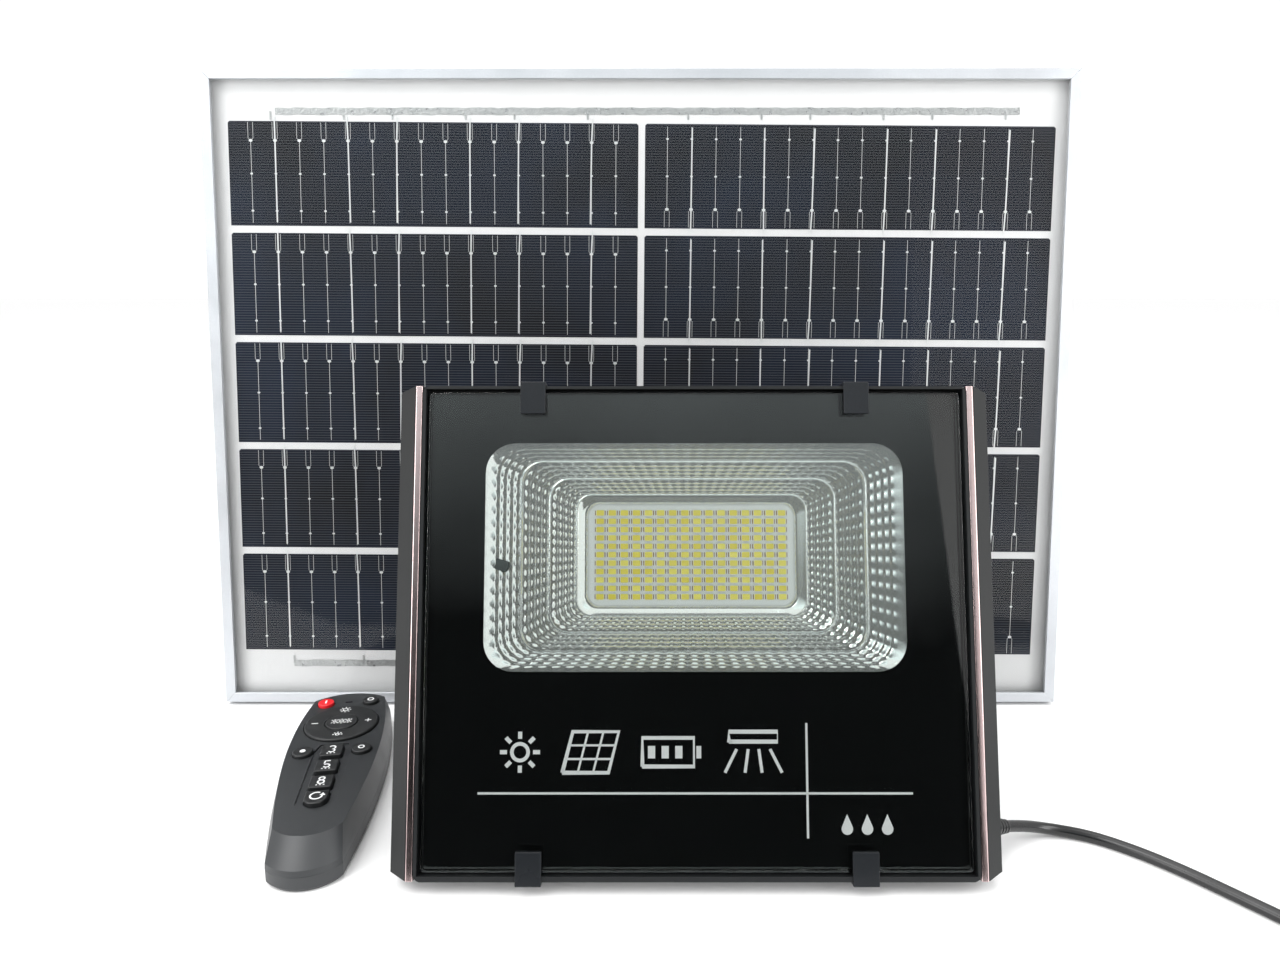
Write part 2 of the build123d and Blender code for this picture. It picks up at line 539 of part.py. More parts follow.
with BuildPart() as lamp_screws:
    add(pan_screws(led_screws_at, led_face, LED_SCREW_L, 1))
    add(pan_screws(cover_screws_at, cover_back, COVER_SCREW_L + SEAL_T + COVER_T - SCREW_END_GAP, -1))
store("lamp_screws", lamp_screws.part, LAMP)

with BuildPart() as breather_vent:
    with BuildSketch(front(cover_back)):
        with Locations((VENT_X, battery_mid)):
            Circle(VENT_R)
    extrude(amount=-VENT_H)
    fillet(breather_vent.edges().group_by(Axis.Y)[-1], radius=VENT_ROUND)
    with BuildSketch(front(cover_back)):
        with Locations((VENT_X, battery_mid)):
            Circle(VENT_STEM_R)
    extrude(amount=COVER_T)
store("breather_vent", breather_vent.part, LAMP)

# ---------------------------------------------------------------- bracket and its bolts
arm_inside = boss_face + BRACKET_SIDE_ROOM
arm_outside = arm_inside + BRACKET_T
washer_seat = arm_outside + BRACKET_SIDE_ROOM
pivot = LAMP * Location((0, PIVOT_Y, PIVOT_Z))
pivot_height = pivot.position.Z
corner_reach = hypot(BRACKET_LENGTH, BRACKET_STRIP / 2)
bracket_lean = degrees(acos(pivot_height / corner_reach) + atan2(BRACKET_STRIP / 2, BRACKET_LENGTH))
BRACKET = Location(tuple(pivot.position), (bracket_lean, 0, 0))

with BuildPart() as lamp_bracket:
    with BuildSketch(Plane.XZ):
        with BuildLine():
            FilletPolyline(
                (-arm_outside, BRACKET_STRIP / 2),
                (-arm_outside, -BRACKET_LENGTH),
                (arm_outside, -BRACKET_LENGTH),
                (arm_outside, BRACKET_STRIP / 2),
                radius=BRACKET_BEND,
            )
            Line((arm_outside, BRACKET_STRIP / 2), (arm_inside, BRACKET_STRIP / 2))
            FilletPolyline(
                (arm_inside, BRACKET_STRIP / 2),
                (arm_inside, BRACKET_T - BRACKET_LENGTH),
                (-arm_inside, BRACKET_T - BRACKET_LENGTH),
                (-arm_inside, BRACKET_STRIP / 2),
                radius=BRACKET_BEND - BRACKET_T,
            )
            Line((-arm_inside, BRACKET_STRIP / 2), (-arm_outside, BRACKET_STRIP / 2))
        make_face()
    extrude(amount=BRACKET_STRIP / 2, both=True)
    fillet(
        lamp_bracket.edges().filter_by(Axis.X).group_by(Axis.Z)[-1],
        radius=BRACKET_STRIP / 2 - ARM_ROUND_ROOM,
    )
    with BuildSketch(Plane.YZ.offset(-arm_outside - 1)):
        Circle(BOLT_R + PIVOT_FIT)
    extrude(amount=2 * arm_outside + 2, mode=Mode.SUBTRACT)
    with BuildSketch(level(-BRACKET_LENGTH)):
        Circle(CENTRE_HOLE_R)
        with Locations((-SIDE_HOLE_X, 0), (SIDE_HOLE_X, 0)):
            Circle(SIDE_HOLE_R)
    extrude(amount=BRACKET_T, mode=Mode.SUBTRACT)
store("lamp_bracket", lamp_bracket.part, BRACKET)

with BuildPart() as bracket_bolts:
    for side in (-1, 1):
        with BuildSketch(Plane.YZ.offset(side * (BODY_W / 2 + BOLT_ROOT))):
            with Locations((PIVOT_Y, PIVOT_Z)):
                Circle(BOLT_R)
        extrude(amount=side * (washer_seat + WASHER_T - BODY_W / 2 - BOLT_ROOT))
        with BuildSketch(Plane.YZ.offset(side * (washer_seat + WASHER_T))):
            with Locations((PIVOT_Y, PIVOT_Z)):
                RegularPolygon(BOLT_HEAD_R, 6)
        extrude(amount=side * BOLT_HEAD_H)

with BuildPart() as bracket_washers:
    for side in (-1, 1):
        with BuildSketch(Plane.YZ.offset(side * washer_seat)):
            with Locations((PIVOT_Y, PIVOT_Z)):
                Circle(WASHER_R)
                Circle(BOLT_R + SCREW_FIT, mode=Mode.SUBTRACT)
        extrude(amount=side * WASHER_T)
store("bracket_fasteners", Compound([*bracket_bolts.part.solids(), *bracket_washers.part.solids()]), LAMP)

# ---------------------------------------------------------------- lead
with BuildPart() as cable_gland:
    with BuildSketch(outlet.offset(GLAND_BOSS_L)):
        RegularPolygon(GLAND_R, 6)
        Circle(CORD_R, mode=Mode.SUBTRACT)
    extrude(amount=GLAND_L)
store("cable_gland", cable_gland.part, LAMP)

relief_root = GLAND_BOSS_L + GLAND_L
with BuildPart() as strain_relief:
    with BuildSketch(outlet.offset(relief_root)):
        Circle(RELIEF_R)
    with BuildSketch(outlet.offset(relief_root + RELIEF_L)):
        Circle(RELIEF_TIP_R)
    loft()
store("strain_relief", strain_relief.part, LAMP)

mouth_place = LAMP * outlet.offset(relief_root + RELIEF_L).location
mouth = mouth_place.position
way_out = (mouth_place * Location((0, 0, 1))).position - mouth
cord_points = [mouth, mouth + way_out * CORD_STRAIGHT]
cord_points += [Vector(mouth.X + x, mouth.Y + y, z) for x, y, z in CORD_CORNERS]
cord_runs = [b - a for a, b in zip(cord_points, cord_points[1:])]
cord_radii = [
    BEND_SHARE * min(before.length, after.length) / tan(radians(before.get_angle(after) / 2))
    for before, after in zip(cord_runs, cord_runs[1:])
]

with BuildPart() as cord_tube:
    with BuildLine() as cord_path:
        FilletPolyline(*[tuple(point) for point in cord_points], radius=cord_radii)
    with BuildSketch(Plane(origin=tuple(mouth), z_dir=tuple(way_out))):
        Circle(CORD_R)
    sweep()
cord_length = cord_path.wire().length
print("cord tube length", round(cord_length, 1))
print("volume over section x length", round(cord_tube.part.volume / (pi * CORD_R**2 * cord_length), 4))
TABLE = Location((0, 0, 0))
store("cord_tube", cord_tube.part, TABLE)

entry = cord_points[-1]
coil_x = entry.X - COIL_R * cos(radians(COIL_ENTRY_ANGLE))
coil_y = entry.Y - COIL_R * sin(radians(COIL_ENTRY_ANGLE))
COIL = Location((coil_x, coil_y, 0))
plug_start = COIL_R + PLUG_OFFSET

with BuildPart() as cord_coil:
    with BuildSketch(Plane.XZ):
        with Locations((COIL_R, COIL_H / 2)):
            RectangleRounded(COIL_W, COIL_H, COIL_ROUND)
    revolve(axis=Axis.Z)
    with BuildSketch(Plane.XZ.offset(-(plug_start - TAIL_L))):
        with Locations((COIL_R, PLUG_R)):
            Circle(CORD_R)
    extrude(amount=-TAIL_L)
store("cord_coil", cord_coil.part, COIL)

with BuildPart() as cord_tie:
    with BuildSketch(Plane.YZ.offset(-TIE_W / 2)):
        with Locations((COIL_R, (COIL_H + TIE_T) / 2)):
            RectangleRounded(COIL_W + 2 * TIE_T, COIL_H + TIE_T, TIE_ROUND)
            RectangleRounded(COIL_W, COIL_H - TIE_T, TIE_ROUND - TIE_T / 4, mode=Mode.SUBTRACT)
    extrude(amount=TIE_W)
store("cord_tie", cord_tie.part, COIL)

PLUG = COIL * Location((COIL_R, plug_start, PLUG_R))
with BuildPart() as connector:
    with BuildSketch(Plane.XZ):
        Circle(PLUG_REAR_R)
    with BuildSketch(Plane.XZ.offset(-PLUG_BODY_L)):
        Circle(PLUG_BODY_R)
    loft()
    with BuildSketch(Plane.XZ.offset(-PLUG_BODY_L)):
        Circle(SPIGOT_R)
    extrude(amount=-SPIGOT_L)
    with BuildSketch(Plane.XZ.offset(-PLUG_BODY_L - SPIGOT_L)):
        Circle(BARREL_R)
    extrude(amount=-BARREL_L)
    with BuildSketch(Plane.XZ.offset(-PLUG_BODY_L - SPIGOT_L)):
        Circle(BARREL_BORE_R)
    extrude(amount=-BARREL_L, mode=Mode.SUBTRACT)
store("connector", connector.part, PLUG)

with BuildPart() as connector_collar:
    with BuildSketch(Plane.XZ.offset(-PLUG_BODY_L - COLLAR_GAP)):
        Circle(PLUG_R)
        with PolarLocations(PLUG_R + GROOVE_OUT, COLLAR_GROOVES):
            Circle(GROOVE_R, mode=Mode.SUBTRACT)
        Circle(SPIGOT_R + COLLAR_FIT, mode=Mode.SUBTRACT)
    extrude(amount=-COLLAR_L)
    with BuildSketch(Plane.XZ.offset(-PLUG_BODY_L - COLLAR_GAP - COLLAR_NECK_L)):
        Circle(COLLAR_MOUTH_R)
    extrude(amount=-(COLLAR_L - COLLAR_NECK_L), mode=Mode.SUBTRACT)
store("connector_collar", connector_collar.part, PLUG)

# ================================================================ PANEL
PANEL = Location((PANEL_X, PANEL_Y, PANEL_T * sin(radians(PANEL_LEAN))), (-PANEL_LEAN, 0, 0))
panel_glass_back = LIP_T + PANEL_GLASS_T
ribbon_back = panel_glass_back + RIBBON_T
cell_back = ribbon_back + CELL_T
laminate_back = cell_back + BACKSHEET_T
laminate_w = PANEL_W - 2 * (FRAME_WALL + LAMINATE_GAP)
laminate_h = PANEL_H - 2 * (FRAME_WALL + LAMINATE_GAP)
shelf_back = laminate_back + SHELF_T
flange_front = PANEL_T - FLANGE_BACK_T
rail_hole_z = (STAND_RAIL_Z - RAIL_HOLE_REACH, STAND_RAIL_Z + RAIL_HOLE_REACH)
rail_hole_x = PANEL_W / 2 - FRAME_WALL - FLANGE_W / 2
rail_holes = [(x, z) for x in (-rail_hole_x, rail_hole_x) for z in rail_hole_z]


def frame_bar(length):
    """Mitred frame bar lying along X, its outer wall at Z = 0 and its lip at the front."""
    with BuildPart() as bar:
        with BuildSketch(Plane.YZ.offset(-length / 2)):
            with BuildLine():
                Polyline(
                    (0, 0),
                    (PANEL_T, 0),
                    (PANEL_T, FRAME_WALL + FLANGE_W),
                    (flange_front, FRAME_WALL + FLANGE_W),
                    (flange_front, FRAME_WALL),
                    (shelf_back, FRAME_WALL),
                    (shelf_back, FRAME_WALL + SHELF_W),
                    (laminate_back, FRAME_WALL + SHELF_W),
                    (laminate_back, FRAME_WALL),
                    (LIP_T, FRAME_WALL),
                    (LIP_T, LIP_W),
                    (0, LIP_W),
                    close=True,
                )
            make_face()
        extrude(amount=length)
        for side in (-1, 1):
            split(bisect_by=Plane(origin=(side * length / 2, 0, 0), z_dir=(-side, 0, -1)), keep=Keep.TOP)
    return bar.part


def on_side(turn, half):
    """Place of one side's bar: half the panel away from its middle, turned about it."""
    return Location((0, 0, PANEL_H / 2)) * Location((0, 0, 0), (0, turn, 0)) * Location((0, 0, -half))


with BuildPart() as panel_end_bars:
    for turn in (0, 180):
        add(on_side(turn, PANEL_H / 2) * frame_bar(PANEL_W))
store("panel_end_bars", panel_end_bars.part, PANEL)

with BuildPart() as panel_side_bars:
    for turn in (90, -90):
        add(on_side(turn, PANEL_W / 2) * frame_bar(PANEL_H))
    with BuildSketch(front(PANEL_T)):
        with Locations(*rail_holes):
            Circle(SCREW_R + SCREW_FIT)
    extrude(amount=FLANGE_BACK_T, mode=Mode.SUBTRACT)
store("panel_side_bars", panel_side_bars.part, PANEL)

# corner keys fill the channel behind the laminate's shelf
with BuildPart() as panel_corner_keys:
    key_front, key_back = shelf_back + KEY_CLEAR, flange_front - KEY_CLEAR
    key_edge = FRAME_WALL + KEY_CLEAR
    key_w = SHELF_W - 2 * KEY_CLEAR
    with BuildSketch(front(key_front)):
        for side in (-1, 1):
            for edge, way in ((0.0, 1), (PANEL_H, -1)):
                corner_x, corner_z = side * (PANEL_W / 2 - key_edge), edge + way * key_edge
                with BuildLine():
                    Polyline(
                        (corner_x, corner_z),
                        (corner_x - side * KEY_LEG, corner_z),
                        (corner_x - side * KEY_LEG, corner_z + way * key_w),
                        (corner_x - side * key_w, corner_z + way * key_w),
                        (corner_x - side * key_w, corner_z + way * KEY_LEG),
                        (corner_x, corner_z + way * KEY_LEG),
                        close=True,
                    )
                make_face()
    extrude(amount=-(key_back - key_front))
store("panel_corner_keys", panel_corner_keys.part, PANEL)


def sheet(depth, thickness, width, height):
    """Flat sheet of the laminate, centred on the panel."""
    with BuildPart() as made:
        with BuildSketch(front(depth)):
            with Locations((0, PANEL_H / 2)):
                Rectangle(width, height)
        extrude(amount=-thickness)
    return made.part


store("panel_glass", sheet(LIP_T, PANEL_GLASS_T, laminate_w, laminate_h), PANEL)
store("panel_backsheet", sheet(cell_back, BACKSHEET_T, laminate_w, laminate_h), PANEL)

cell_w = (PANEL_W - 2 * CELL_SIDE - (CELL_COLUMNS - 1) * COLUMN_GAP) / CELL_COLUMNS
cell_h = (PANEL_H - 2 * CELL_END - (CELL_ROWS - 1) * ROW_GAP) / CELL_ROWS
cell_step_x, cell_step_z = cell_w + COLUMN_GAP, cell_h + ROW_GAP
with BuildPart() as solar_cells:
    with BuildSketch(front(ribbon_back)):
        with Locations(Location((0, PANEL_H / 2, 0), (0, 0, CELL_TURN))):
            with GridLocations(cell_step_x, cell_step_z, CELL_COLUMNS, CELL_ROWS):
                Rectangle(cell_w, cell_h)
    extrude(amount=-CELL_T)
store("solar_cells", solar_cells.part, PANEL)

# wide ribbons soldered along some of each cell's busbars; the columns run opposite ways
tab_length = cell_h - TAB_START - TAB_END
tab_shift = (TAB_START - TAB_END) / 2
tab_x = [BUSBAR_EDGE + BUSBAR_PITCH * (number - 1) - cell_w / 2 for number in TABBED]
with BuildPart() as cell_ribbons:
    with BuildSketch(front(panel_glass_back)):
        with Locations(Location((0, PANEL_H / 2, 0), (0, 0, CELL_TURN))):
            for column, way in ((-0.5, -1), (0.5, 1)):
                for row in range(CELL_ROWS):
                    row_z = (row - (CELL_ROWS - 1) / 2) * cell_step_z + way * tab_shift
                    with Locations(*[(column * cell_step_x + x, row_z) for x in tab_x]):
                        Rectangle(TAB_W, tab_length)
    extrude(amount=-RIBBON_T)
store("cell_ribbons", cell_ribbons.part, PANEL)

# bus ribbons: one across both columns at the top, one for each column at the bottom
bus_top_z = PANEL_H - BUS_INSET - BUS_H / 2
bus_bottom_z = BUS_INSET + BUS_H / 2
bus_whole = 2 * cell_w + COLUMN_GAP - 2 * BUS_SIDE
with BuildPart() as bus_ribbons:
    with BuildSketch(front(panel_glass_back)):
        with Locations((0, bus_top_z)):
            Rectangle(bus_whole, BUS_H)
        for side in (-1, 1):
            with Locations((side * (bus_whole / 4 + COLUMN_GAP), bus_bottom_z)):
                Rectangle(bus_whole / 2 - 2 * COLUMN_GAP, BUS_H)
    extrude(amount=-RIBBON_T)
store("bus_ribbons", bus_ribbons.part, PANEL)

box_z = PANEL_H - BOX_DROP
with BuildPart() as junction_box:
    with BuildSketch(front(laminate_back)):
        with Locations((0, box_z)):
            RectangleRounded(BOX_W, BOX_H, BOX_CORNER)
    extrude(amount=-BOX_DEPTH)
    with BuildSketch(front(laminate_back + BOX_WALL)):
        with Locations((0, box_z)):
            RectangleRounded(BOX_W - 2 * BOX_WALL, BOX_H - 2 * BOX_WALL, BOX_CORNER_INSIDE)
    extrude(amount=-(BOX_DEPTH - BOX_WALL), mode=Mode.SUBTRACT)
store("junction_box", junction_box.part, PANEL)

with BuildPart() as junction_box_lid:
    with BuildSketch(front(laminate_back + BOX_DEPTH)):
        with Locations((0, box_z)):
            RectangleRounded(BOX_W, BOX_H, BOX_CORNER)
    extrude(amount=-LID_T)
    chamfer(junction_box_lid.faces().sort_by(Axis.Y)[-1].edges(), length=LID_CHAMFER)
store("junction_box_lid", junction_box_lid.part, PANEL)

with BuildPart() as junction_gland:
    with BuildSketch(level(box_z - BOX_H / 2)):
        with Locations((0, laminate_back + BOX_DEPTH / 2)):
            RegularPolygon(JUNCTION_GLAND_R, 6)
    extrude(amount=-JUNCTION_GLAND_L)
    fillet(junction_gland.faces().sort_by(Axis.Z)[0].edges(), radius=JUNCTION_GLAND_ROUND)
store("junction_gland", junction_gland.part, PANEL)

stand_pivot_y = PANEL_T + STAND_RAIL_T + EAR_DEPTH
with BuildPart() as stand_rail:
    with BuildSketch(front(PANEL_T)):
        with Locations((0, STAND_RAIL_Z)):
            Rectangle(PANEL_W - 2 * FRAME_WALL, STAND_RAIL_H)
        with Locations(*rail_holes):
            Circle(SCREW_R + SCREW_FIT, mode=Mode.SUBTRACT)
    extrude(amount=-STAND_RAIL_T)
    for side in (-1, 1):
        with BuildSketch(Plane.YZ.offset(side * EAR_INSIDE)):
            with Locations((PANEL_T + STAND_RAIL_T + EAR_DEPTH / 2, STAND_RAIL_Z)):
                Rectangle(EAR_DEPTH, 2 * EAR_R)
            with Locations((stand_pivot_y, STAND_RAIL_Z)):
                Circle(EAR_R)
                Circle(STAND_BOLT_R + SCREW_FIT, mode=Mode.SUBTRACT)
        extrude(amount=side * EAR_T)
store("stand_rail", stand_rail.part, PANEL)
store("rail_screws", pan_screws(rail_holes, PANEL_T + STAND_RAIL_T, RAIL_SCREW_L, -1), PANEL)

ear_outside = EAR_INSIDE + EAR_T
with BuildPart() as stand_bolt:
    with BuildSketch(Plane.YZ.offset(-ear_outside)):
        with Locations((stand_pivot_y, STAND_RAIL_Z)):
            Circle(STAND_BOLT_R)
    extrude(amount=2 * ear_outside + KNOB_ROOM + KNOB_L + BOLT_SHOW)
    with BuildSketch(Plane.YZ.offset(-ear_outside)):
        with Locations((stand_pivot_y, STAND_RAIL_Z)):
            RegularPolygon(STAND_HEAD_R, 6)
    extrude(amount=-STAND_HEAD_H)
store("stand_bolt", stand_bolt.part, PANEL)

with BuildPart() as stand_knob:
    with BuildSketch(Plane.YZ.offset(ear_outside + KNOB_ROOM)):
        with Locations((stand_pivot_y, STAND_RAIL_Z)):
            Circle(KNOB_R)
            with PolarLocations(KNOB_R + LOBE_OUT, KNOB_LOBES):
                Circle(LOBE_R, mode=Mode.SUBTRACT)
            Circle(STAND_BOLT_R + STAND_FIT, mode=Mode.SUBTRACT)
    extrude(amount=KNOB_L)
store("stand_knob", stand_knob.part, PANEL)

# the leg turns on the stand bolt; its own frame hangs from that pivot
stand_pivot = (PANEL * Location((0, stand_pivot_y, STAND_RAIL_Z))).position
LEG = Location(tuple(stand_pivot))
leg_fall = stand_pivot.Z - LEG_T
with BuildPart() as stand_leg:
    with BuildSketch(Plane.YZ.offset(-LEG_W / 2)):
        Circle(LEG_BARREL_R)
    extrude(amount=LEG_W)
    with BuildSketch(Plane.YZ.offset(-LEG_W / 2)):
        with BuildLine():
            Polyline(
                (-LEG_T / 2, 0),
                (LEG_T / 2, 0),
                (LEG_SPREAD + LEG_T / 2, -leg_fall),
                (LEG_SPREAD + LEG_FOOT, -leg_fall),
                (LEG_SPREAD + LEG_FOOT, -leg_fall - LEG_T),
                (LEG_SPREAD - LEG_T / 2, -leg_fall - LEG_T),
                close=True,
            )
        make_face()
    extrude(amount=LEG_W)
    with BuildSketch(Plane.YZ.offset(-LEG_W)):
        Circle(STAND_BOLT_R + STAND_FIT)
    extrude(amount=2 * LEG_W, mode=Mode.SUBTRACT)
    with BuildSketch(level(-leg_fall)):
        with Locations(*[(x, LEG_SPREAD + (LEG_FOOT + LEG_T) / 2) for x in (-FOOT_HOLE_X, FOOT_HOLE_X)]):
            Circle(FOOT_HOLE_R)
    extrude(amount=-LEG_T, mode=Mode.SUBTRACT)
store("stand_leg", stand_leg.part, LEG)

# ================================================================ REMOTE
REMOTE = Location((LAMP_X - TRAY_W / 2 - REMOTE_GAP, REMOTE_Y, 0), (0, 0, REMOTE_YAW))


def handset_outline(height, side=0.0, near=0.0, far=0.0):
    """Outline of the handset at a height, drawn in at its sides, near end and far end."""
    near_half, waist = NEAR_HALF - side, WAIST_HALF - side
    wide, far_half = WIDE_HALF - side, FAR_HALF - side
    near_half += (waist - near_half) * near / WAIST_Y
    near_y, far_y = near + NEAR_SAG, REMOTE_L - far - FAR_SAG
    with BuildSketch(level(height)) as outline:
        with BuildLine():
            left = Spline((-near_half, near_y), (-waist, WAIST_Y), (-wide, WIDE_Y), (-far_half, far_y))
            right = Spline((near_half, near_y), (waist, WAIST_Y), (wide, WIDE_Y), (far_half, far_y))
            ThreePointArc(left @ 0, (0, near), right @ 0)
            ThreePointArc(left @ 1, (0, REMOTE_L - far), right @ 1)
        make_face()
    return outline.sketch


shell_inner_top = REMOTE_H - SHELL_WALL
key_bottom = shell_inner_top - KEY_FLANGE_T
keypad_top = key_bottom - KEY_TRAVEL - KEY_STOP_GAP
board_top = keypad_top - KEYPAD_T


def round_key(radius):
    """Outline of a round key."""
    with BuildSketch() as outline:
        Circle(radius)
    return outline.sketch


def timer_key(grow):
    """Outline of a rectangular timer key."""
    with BuildSketch() as outline:
        RectangleRounded(TIMER_W + 2 * grow, TIMER_L + 2 * grow, TIMER_CORNER + grow)
    return outline.sketch


def auto_key(grow):
    """Outline of the key with a square far end and a round near end."""
    half = TIMER_W / 2 + grow
    with BuildSketch() as outline:
        with Locations((0, (AUTO_L / 2 + grow) / 2)):
            Rectangle(2 * half, AUTO_L / 2 + grow)
        Circle(half)
    return outline.sketch


# name: (x, y, outline for a given growth)
push_keys = {
    "on_key": (-POWER_X, POWER_Y, lambda grow: round_key(POWER_R + grow)),
    "off_key": (POWER_X, POWER_Y, lambda grow: round_key(POWER_R + grow)),
    "centre_key": (0, RING_Y, lambda grow: round_key(CENTRE_R + grow)),
    "left_round_key": (-ROUND_X, ROUND_Y, lambda grow: round_key(ROUND_R + grow)),
    "right_round_key": (ROUND_X, ROUND_Y, lambda grow: round_key(ROUND_R + grow)),
    "three_hour_key": (0, TIMER_FIRST_Y, timer_key),
    "five_hour_key": (0, TIMER_FIRST_Y - TIMER_PITCH, timer_key),
    "eight_hour_key": (0, TIMER_FIRST_Y - 2 * TIMER_PITCH, timer_key),
    "auto_key": (0, AUTO_Y, auto_key),
}

with BuildPart() as remote_top_shell:
    rim_outline = handset_outline(REMOTE_RIM, RIM_IN, RIM_NEAR_IN, RIM_IN)
    loft(sections=[handset_outline(REMOTE_SEAM), rim_outline], ruled=True)
    loft(
        sections=[
            rim_outline,
            handset_outline(REMOTE_H, SIDE_BEVEL, NEAR_BEVEL, FAR_BEVEL),
        ],
        ruled=True,
    )
    loft(
        sections=[
            handset_outline(REMOTE_SEAM, SHELL_WALL, SHELL_WALL, SHELL_WALL),
            handset_outline(
                REMOTE_RIM, SHELL_WALL + INSIDE_SLOPE, SHELL_WALL + INSIDE_NEAR, SHELL_WALL + RIM_IN
            ),
        ],
        ruled=True,
        mode=Mode.SUBTRACT,
    )
    loft(
        sections=[
            handset_outline(
                REMOTE_RIM, SHELL_WALL + INSIDE_SLOPE, SHELL_WALL + INSIDE_NEAR, SHELL_WALL + RIM_IN
            ),
            handset_outline(
                shell_inner_top, SIDE_BEVEL + INSIDE_SIDE, NEAR_BEVEL + INSIDE_END, FAR_BEVEL + SHELL_WALL
            ),
        ],
        ruled=True,
        mode=Mode.SUBTRACT,
    )
    with BuildSketch(level(REMOTE_H - CHANNEL_SINK)):
        with BuildLine():
            Polyline(
                (FAR_CUT_X - CHANNEL_HALF, CHANNEL_FAR),
                (CHANNEL_HALF - FAR_CUT_X, CHANNEL_FAR),
                (CHANNEL_HALF, CHANNEL_FAR - FAR_CUT_Y),
                (CHANNEL_HALF, CHANNEL_NEAR + NEAR_CUT_Y),
                (CHANNEL_HALF - NEAR_CUT_X, CHANNEL_NEAR),
                (NEAR_CUT_X - CHANNEL_HALF, CHANNEL_NEAR),
                (-CHANNEL_HALF, CHANNEL_NEAR + NEAR_CUT_Y),
                (-CHANNEL_HALF, CHANNEL_FAR - FAR_CUT_Y),
                close=True,
            )
        make_face()
    extrude(amount=CHANNEL_SINK + 1, mode=Mode.SUBTRACT)
    with BuildSketch(level(REMOTE_H)):
        for x, y, outline in push_keys.values():
            with Locations((x, y)):
                add(outline(KEY_ROOM))
        with Locations((0, RING_Y)):
            Circle(RING_R + RING_ROOM)
    extrude(amount=-(SHELL_WALL + 1), mode=Mode.SUBTRACT)
    with BuildSketch(Plane.XZ.offset(-(REMOTE_L - EYE_L))):
        with Locations((0, EYE_Z)):
            Circle(EYE_R + CELL_COVER_ROOM)
    extrude(amount=-2 * EYE_L, mode=Mode.SUBTRACT)
store("remote_top_shell", remote_top_shell.part, REMOTE)

with BuildPart() as remote_bottom_shell:
    base_outline = handset_outline(0, BASE_ROUND, BASE_ROUND, BASE_ROUND)
    loft(sections=[base_outline, handset_outline(BASE_RISE)], ruled=True)
    loft(sections=[handset_outline(BASE_RISE), handset_outline(REMOTE_SEAM)], ruled=True)
    with BuildSketch(level(SHELL_WALL)):
        add(handset_outline(0, SHELL_WALL, SHELL_WALL, SHELL_WALL))
    extrude(amount=REMOTE_SEAM - SHELL_WALL, mode=Mode.SUBTRACT)
    with BuildSketch(level(0)):
        with Locations((0, COIN_Y)):
            Circle(CELL_COVER_R + CELL_COVER_ROOM)
    extrude(amount=SHELL_WALL, mode=Mode.SUBTRACT)
store("remote_bottom_shell", remote_bottom_shell.part, REMOTE)

cover_rest = SHELL_WALL - CELL_COVER_T
with BuildPart() as battery_cover:
    with BuildSketch(level(cover_rest)):
        with Locations((0, COIN_Y)):
            Circle(CELL_COVER_R)
    extrude(amount=CELL_COVER_T)
    with BuildSketch(level(cover_rest)):
        with Locations((0, COIN_Y)):
            Rectangle(COIN_SLOT_L, COIN_SLOT_W)
    extrude(amount=COIN_SLOT_DEPTH, mode=Mode.SUBTRACT)
store("battery_cover", battery_cover.part, REMOTE)

with BuildPart() as coin_cell:
    with BuildSketch(level(SHELL_WALL + COIN_LIFT)):
        with Locations((0, COIN_Y)):
            Circle(COIN_R)
    extrude(amount=COIN_T)
    chamfer(coin_cell.edges().group_by(Axis.Z)[0], length=COIN_CHAMFER)
store("coin_cell", coin_cell.part, REMOTE)

# the board and the keypad fill the shell, clear of its inside and of the infrared window
inside_side = SIDE_BEVEL + INSIDE_SIDE + INSIDE_ROOM
inside_near = NEAR_BEVEL + INSIDE_END
inside_far = FAR_BEVEL + EYE_L - EYE_OVERLAP
with BuildPart() as remote_board:
    add(handset_outline(board_top, inside_side, inside_near, inside_far))
    extrude(amount=-HANDSET_BOARD_T)
store("remote_board", remote_board.part, REMOTE)

with BuildPart() as rubber_keypad:
    add(handset_outline(keypad_top, inside_side, inside_near, inside_far))
    extrude(amount=-KEYPAD_T)
store("rubber_keypad", rubber_keypad.part, REMOTE)

with BuildPart() as remote_ir_window:
    with BuildSketch(Plane.XZ.offset(-(REMOTE_L - EYE_L))):
        with Locations((0, EYE_Z)):
            Circle(EYE_R)
    extrude(amount=-(EYE_L + EYE_OUT))
    fillet(remote_ir_window.edges().group_by(Axis.Y)[-1], radius=EYE_ROUND)
store("remote_ir_window", remote_ir_window.part, REMOTE)

for name, (x, y, outline) in push_keys.items():
    flange = 0 if name == "centre_key" else KEY_FLANGE
    with BuildPart() as key:
        with BuildSketch(level(key_bottom)):
            with Locations((x, y)):
                add(outline(0))
        extrude(amount=REMOTE_H + KEY_RISE - key_bottom)
        fillet(key.faces().sort_by(Axis.Z)[-1].edges(), radius=KEY_ROUND)
        if flange:
            with BuildSketch(level(key_bottom)):
                with Locations((x, y)):
                    add(outline(flange))
            extrude(amount=KEY_FLANGE_T)
    store(name, key.part, REMOTE)

with BuildPart() as navigation_ring:
    with BuildSketch(level(keypad_top + RING_LIFT)):
        with Locations((0, RING_Y)):
            Circle(RING_R)
            Circle(CENTRE_R + KEY_ROOM, mode=Mode.SUBTRACT)
    extrude(amount=REMOTE_H + RING_RISE - keypad_top - RING_LIFT)
    fillet(navigation_ring.edges().group_by(Axis.Z)[-1].sort_by(SortBy.LENGTH)[-1], radius=RING_ROUND)
store("navigation_ring", navigation_ring.part, REMOTE)

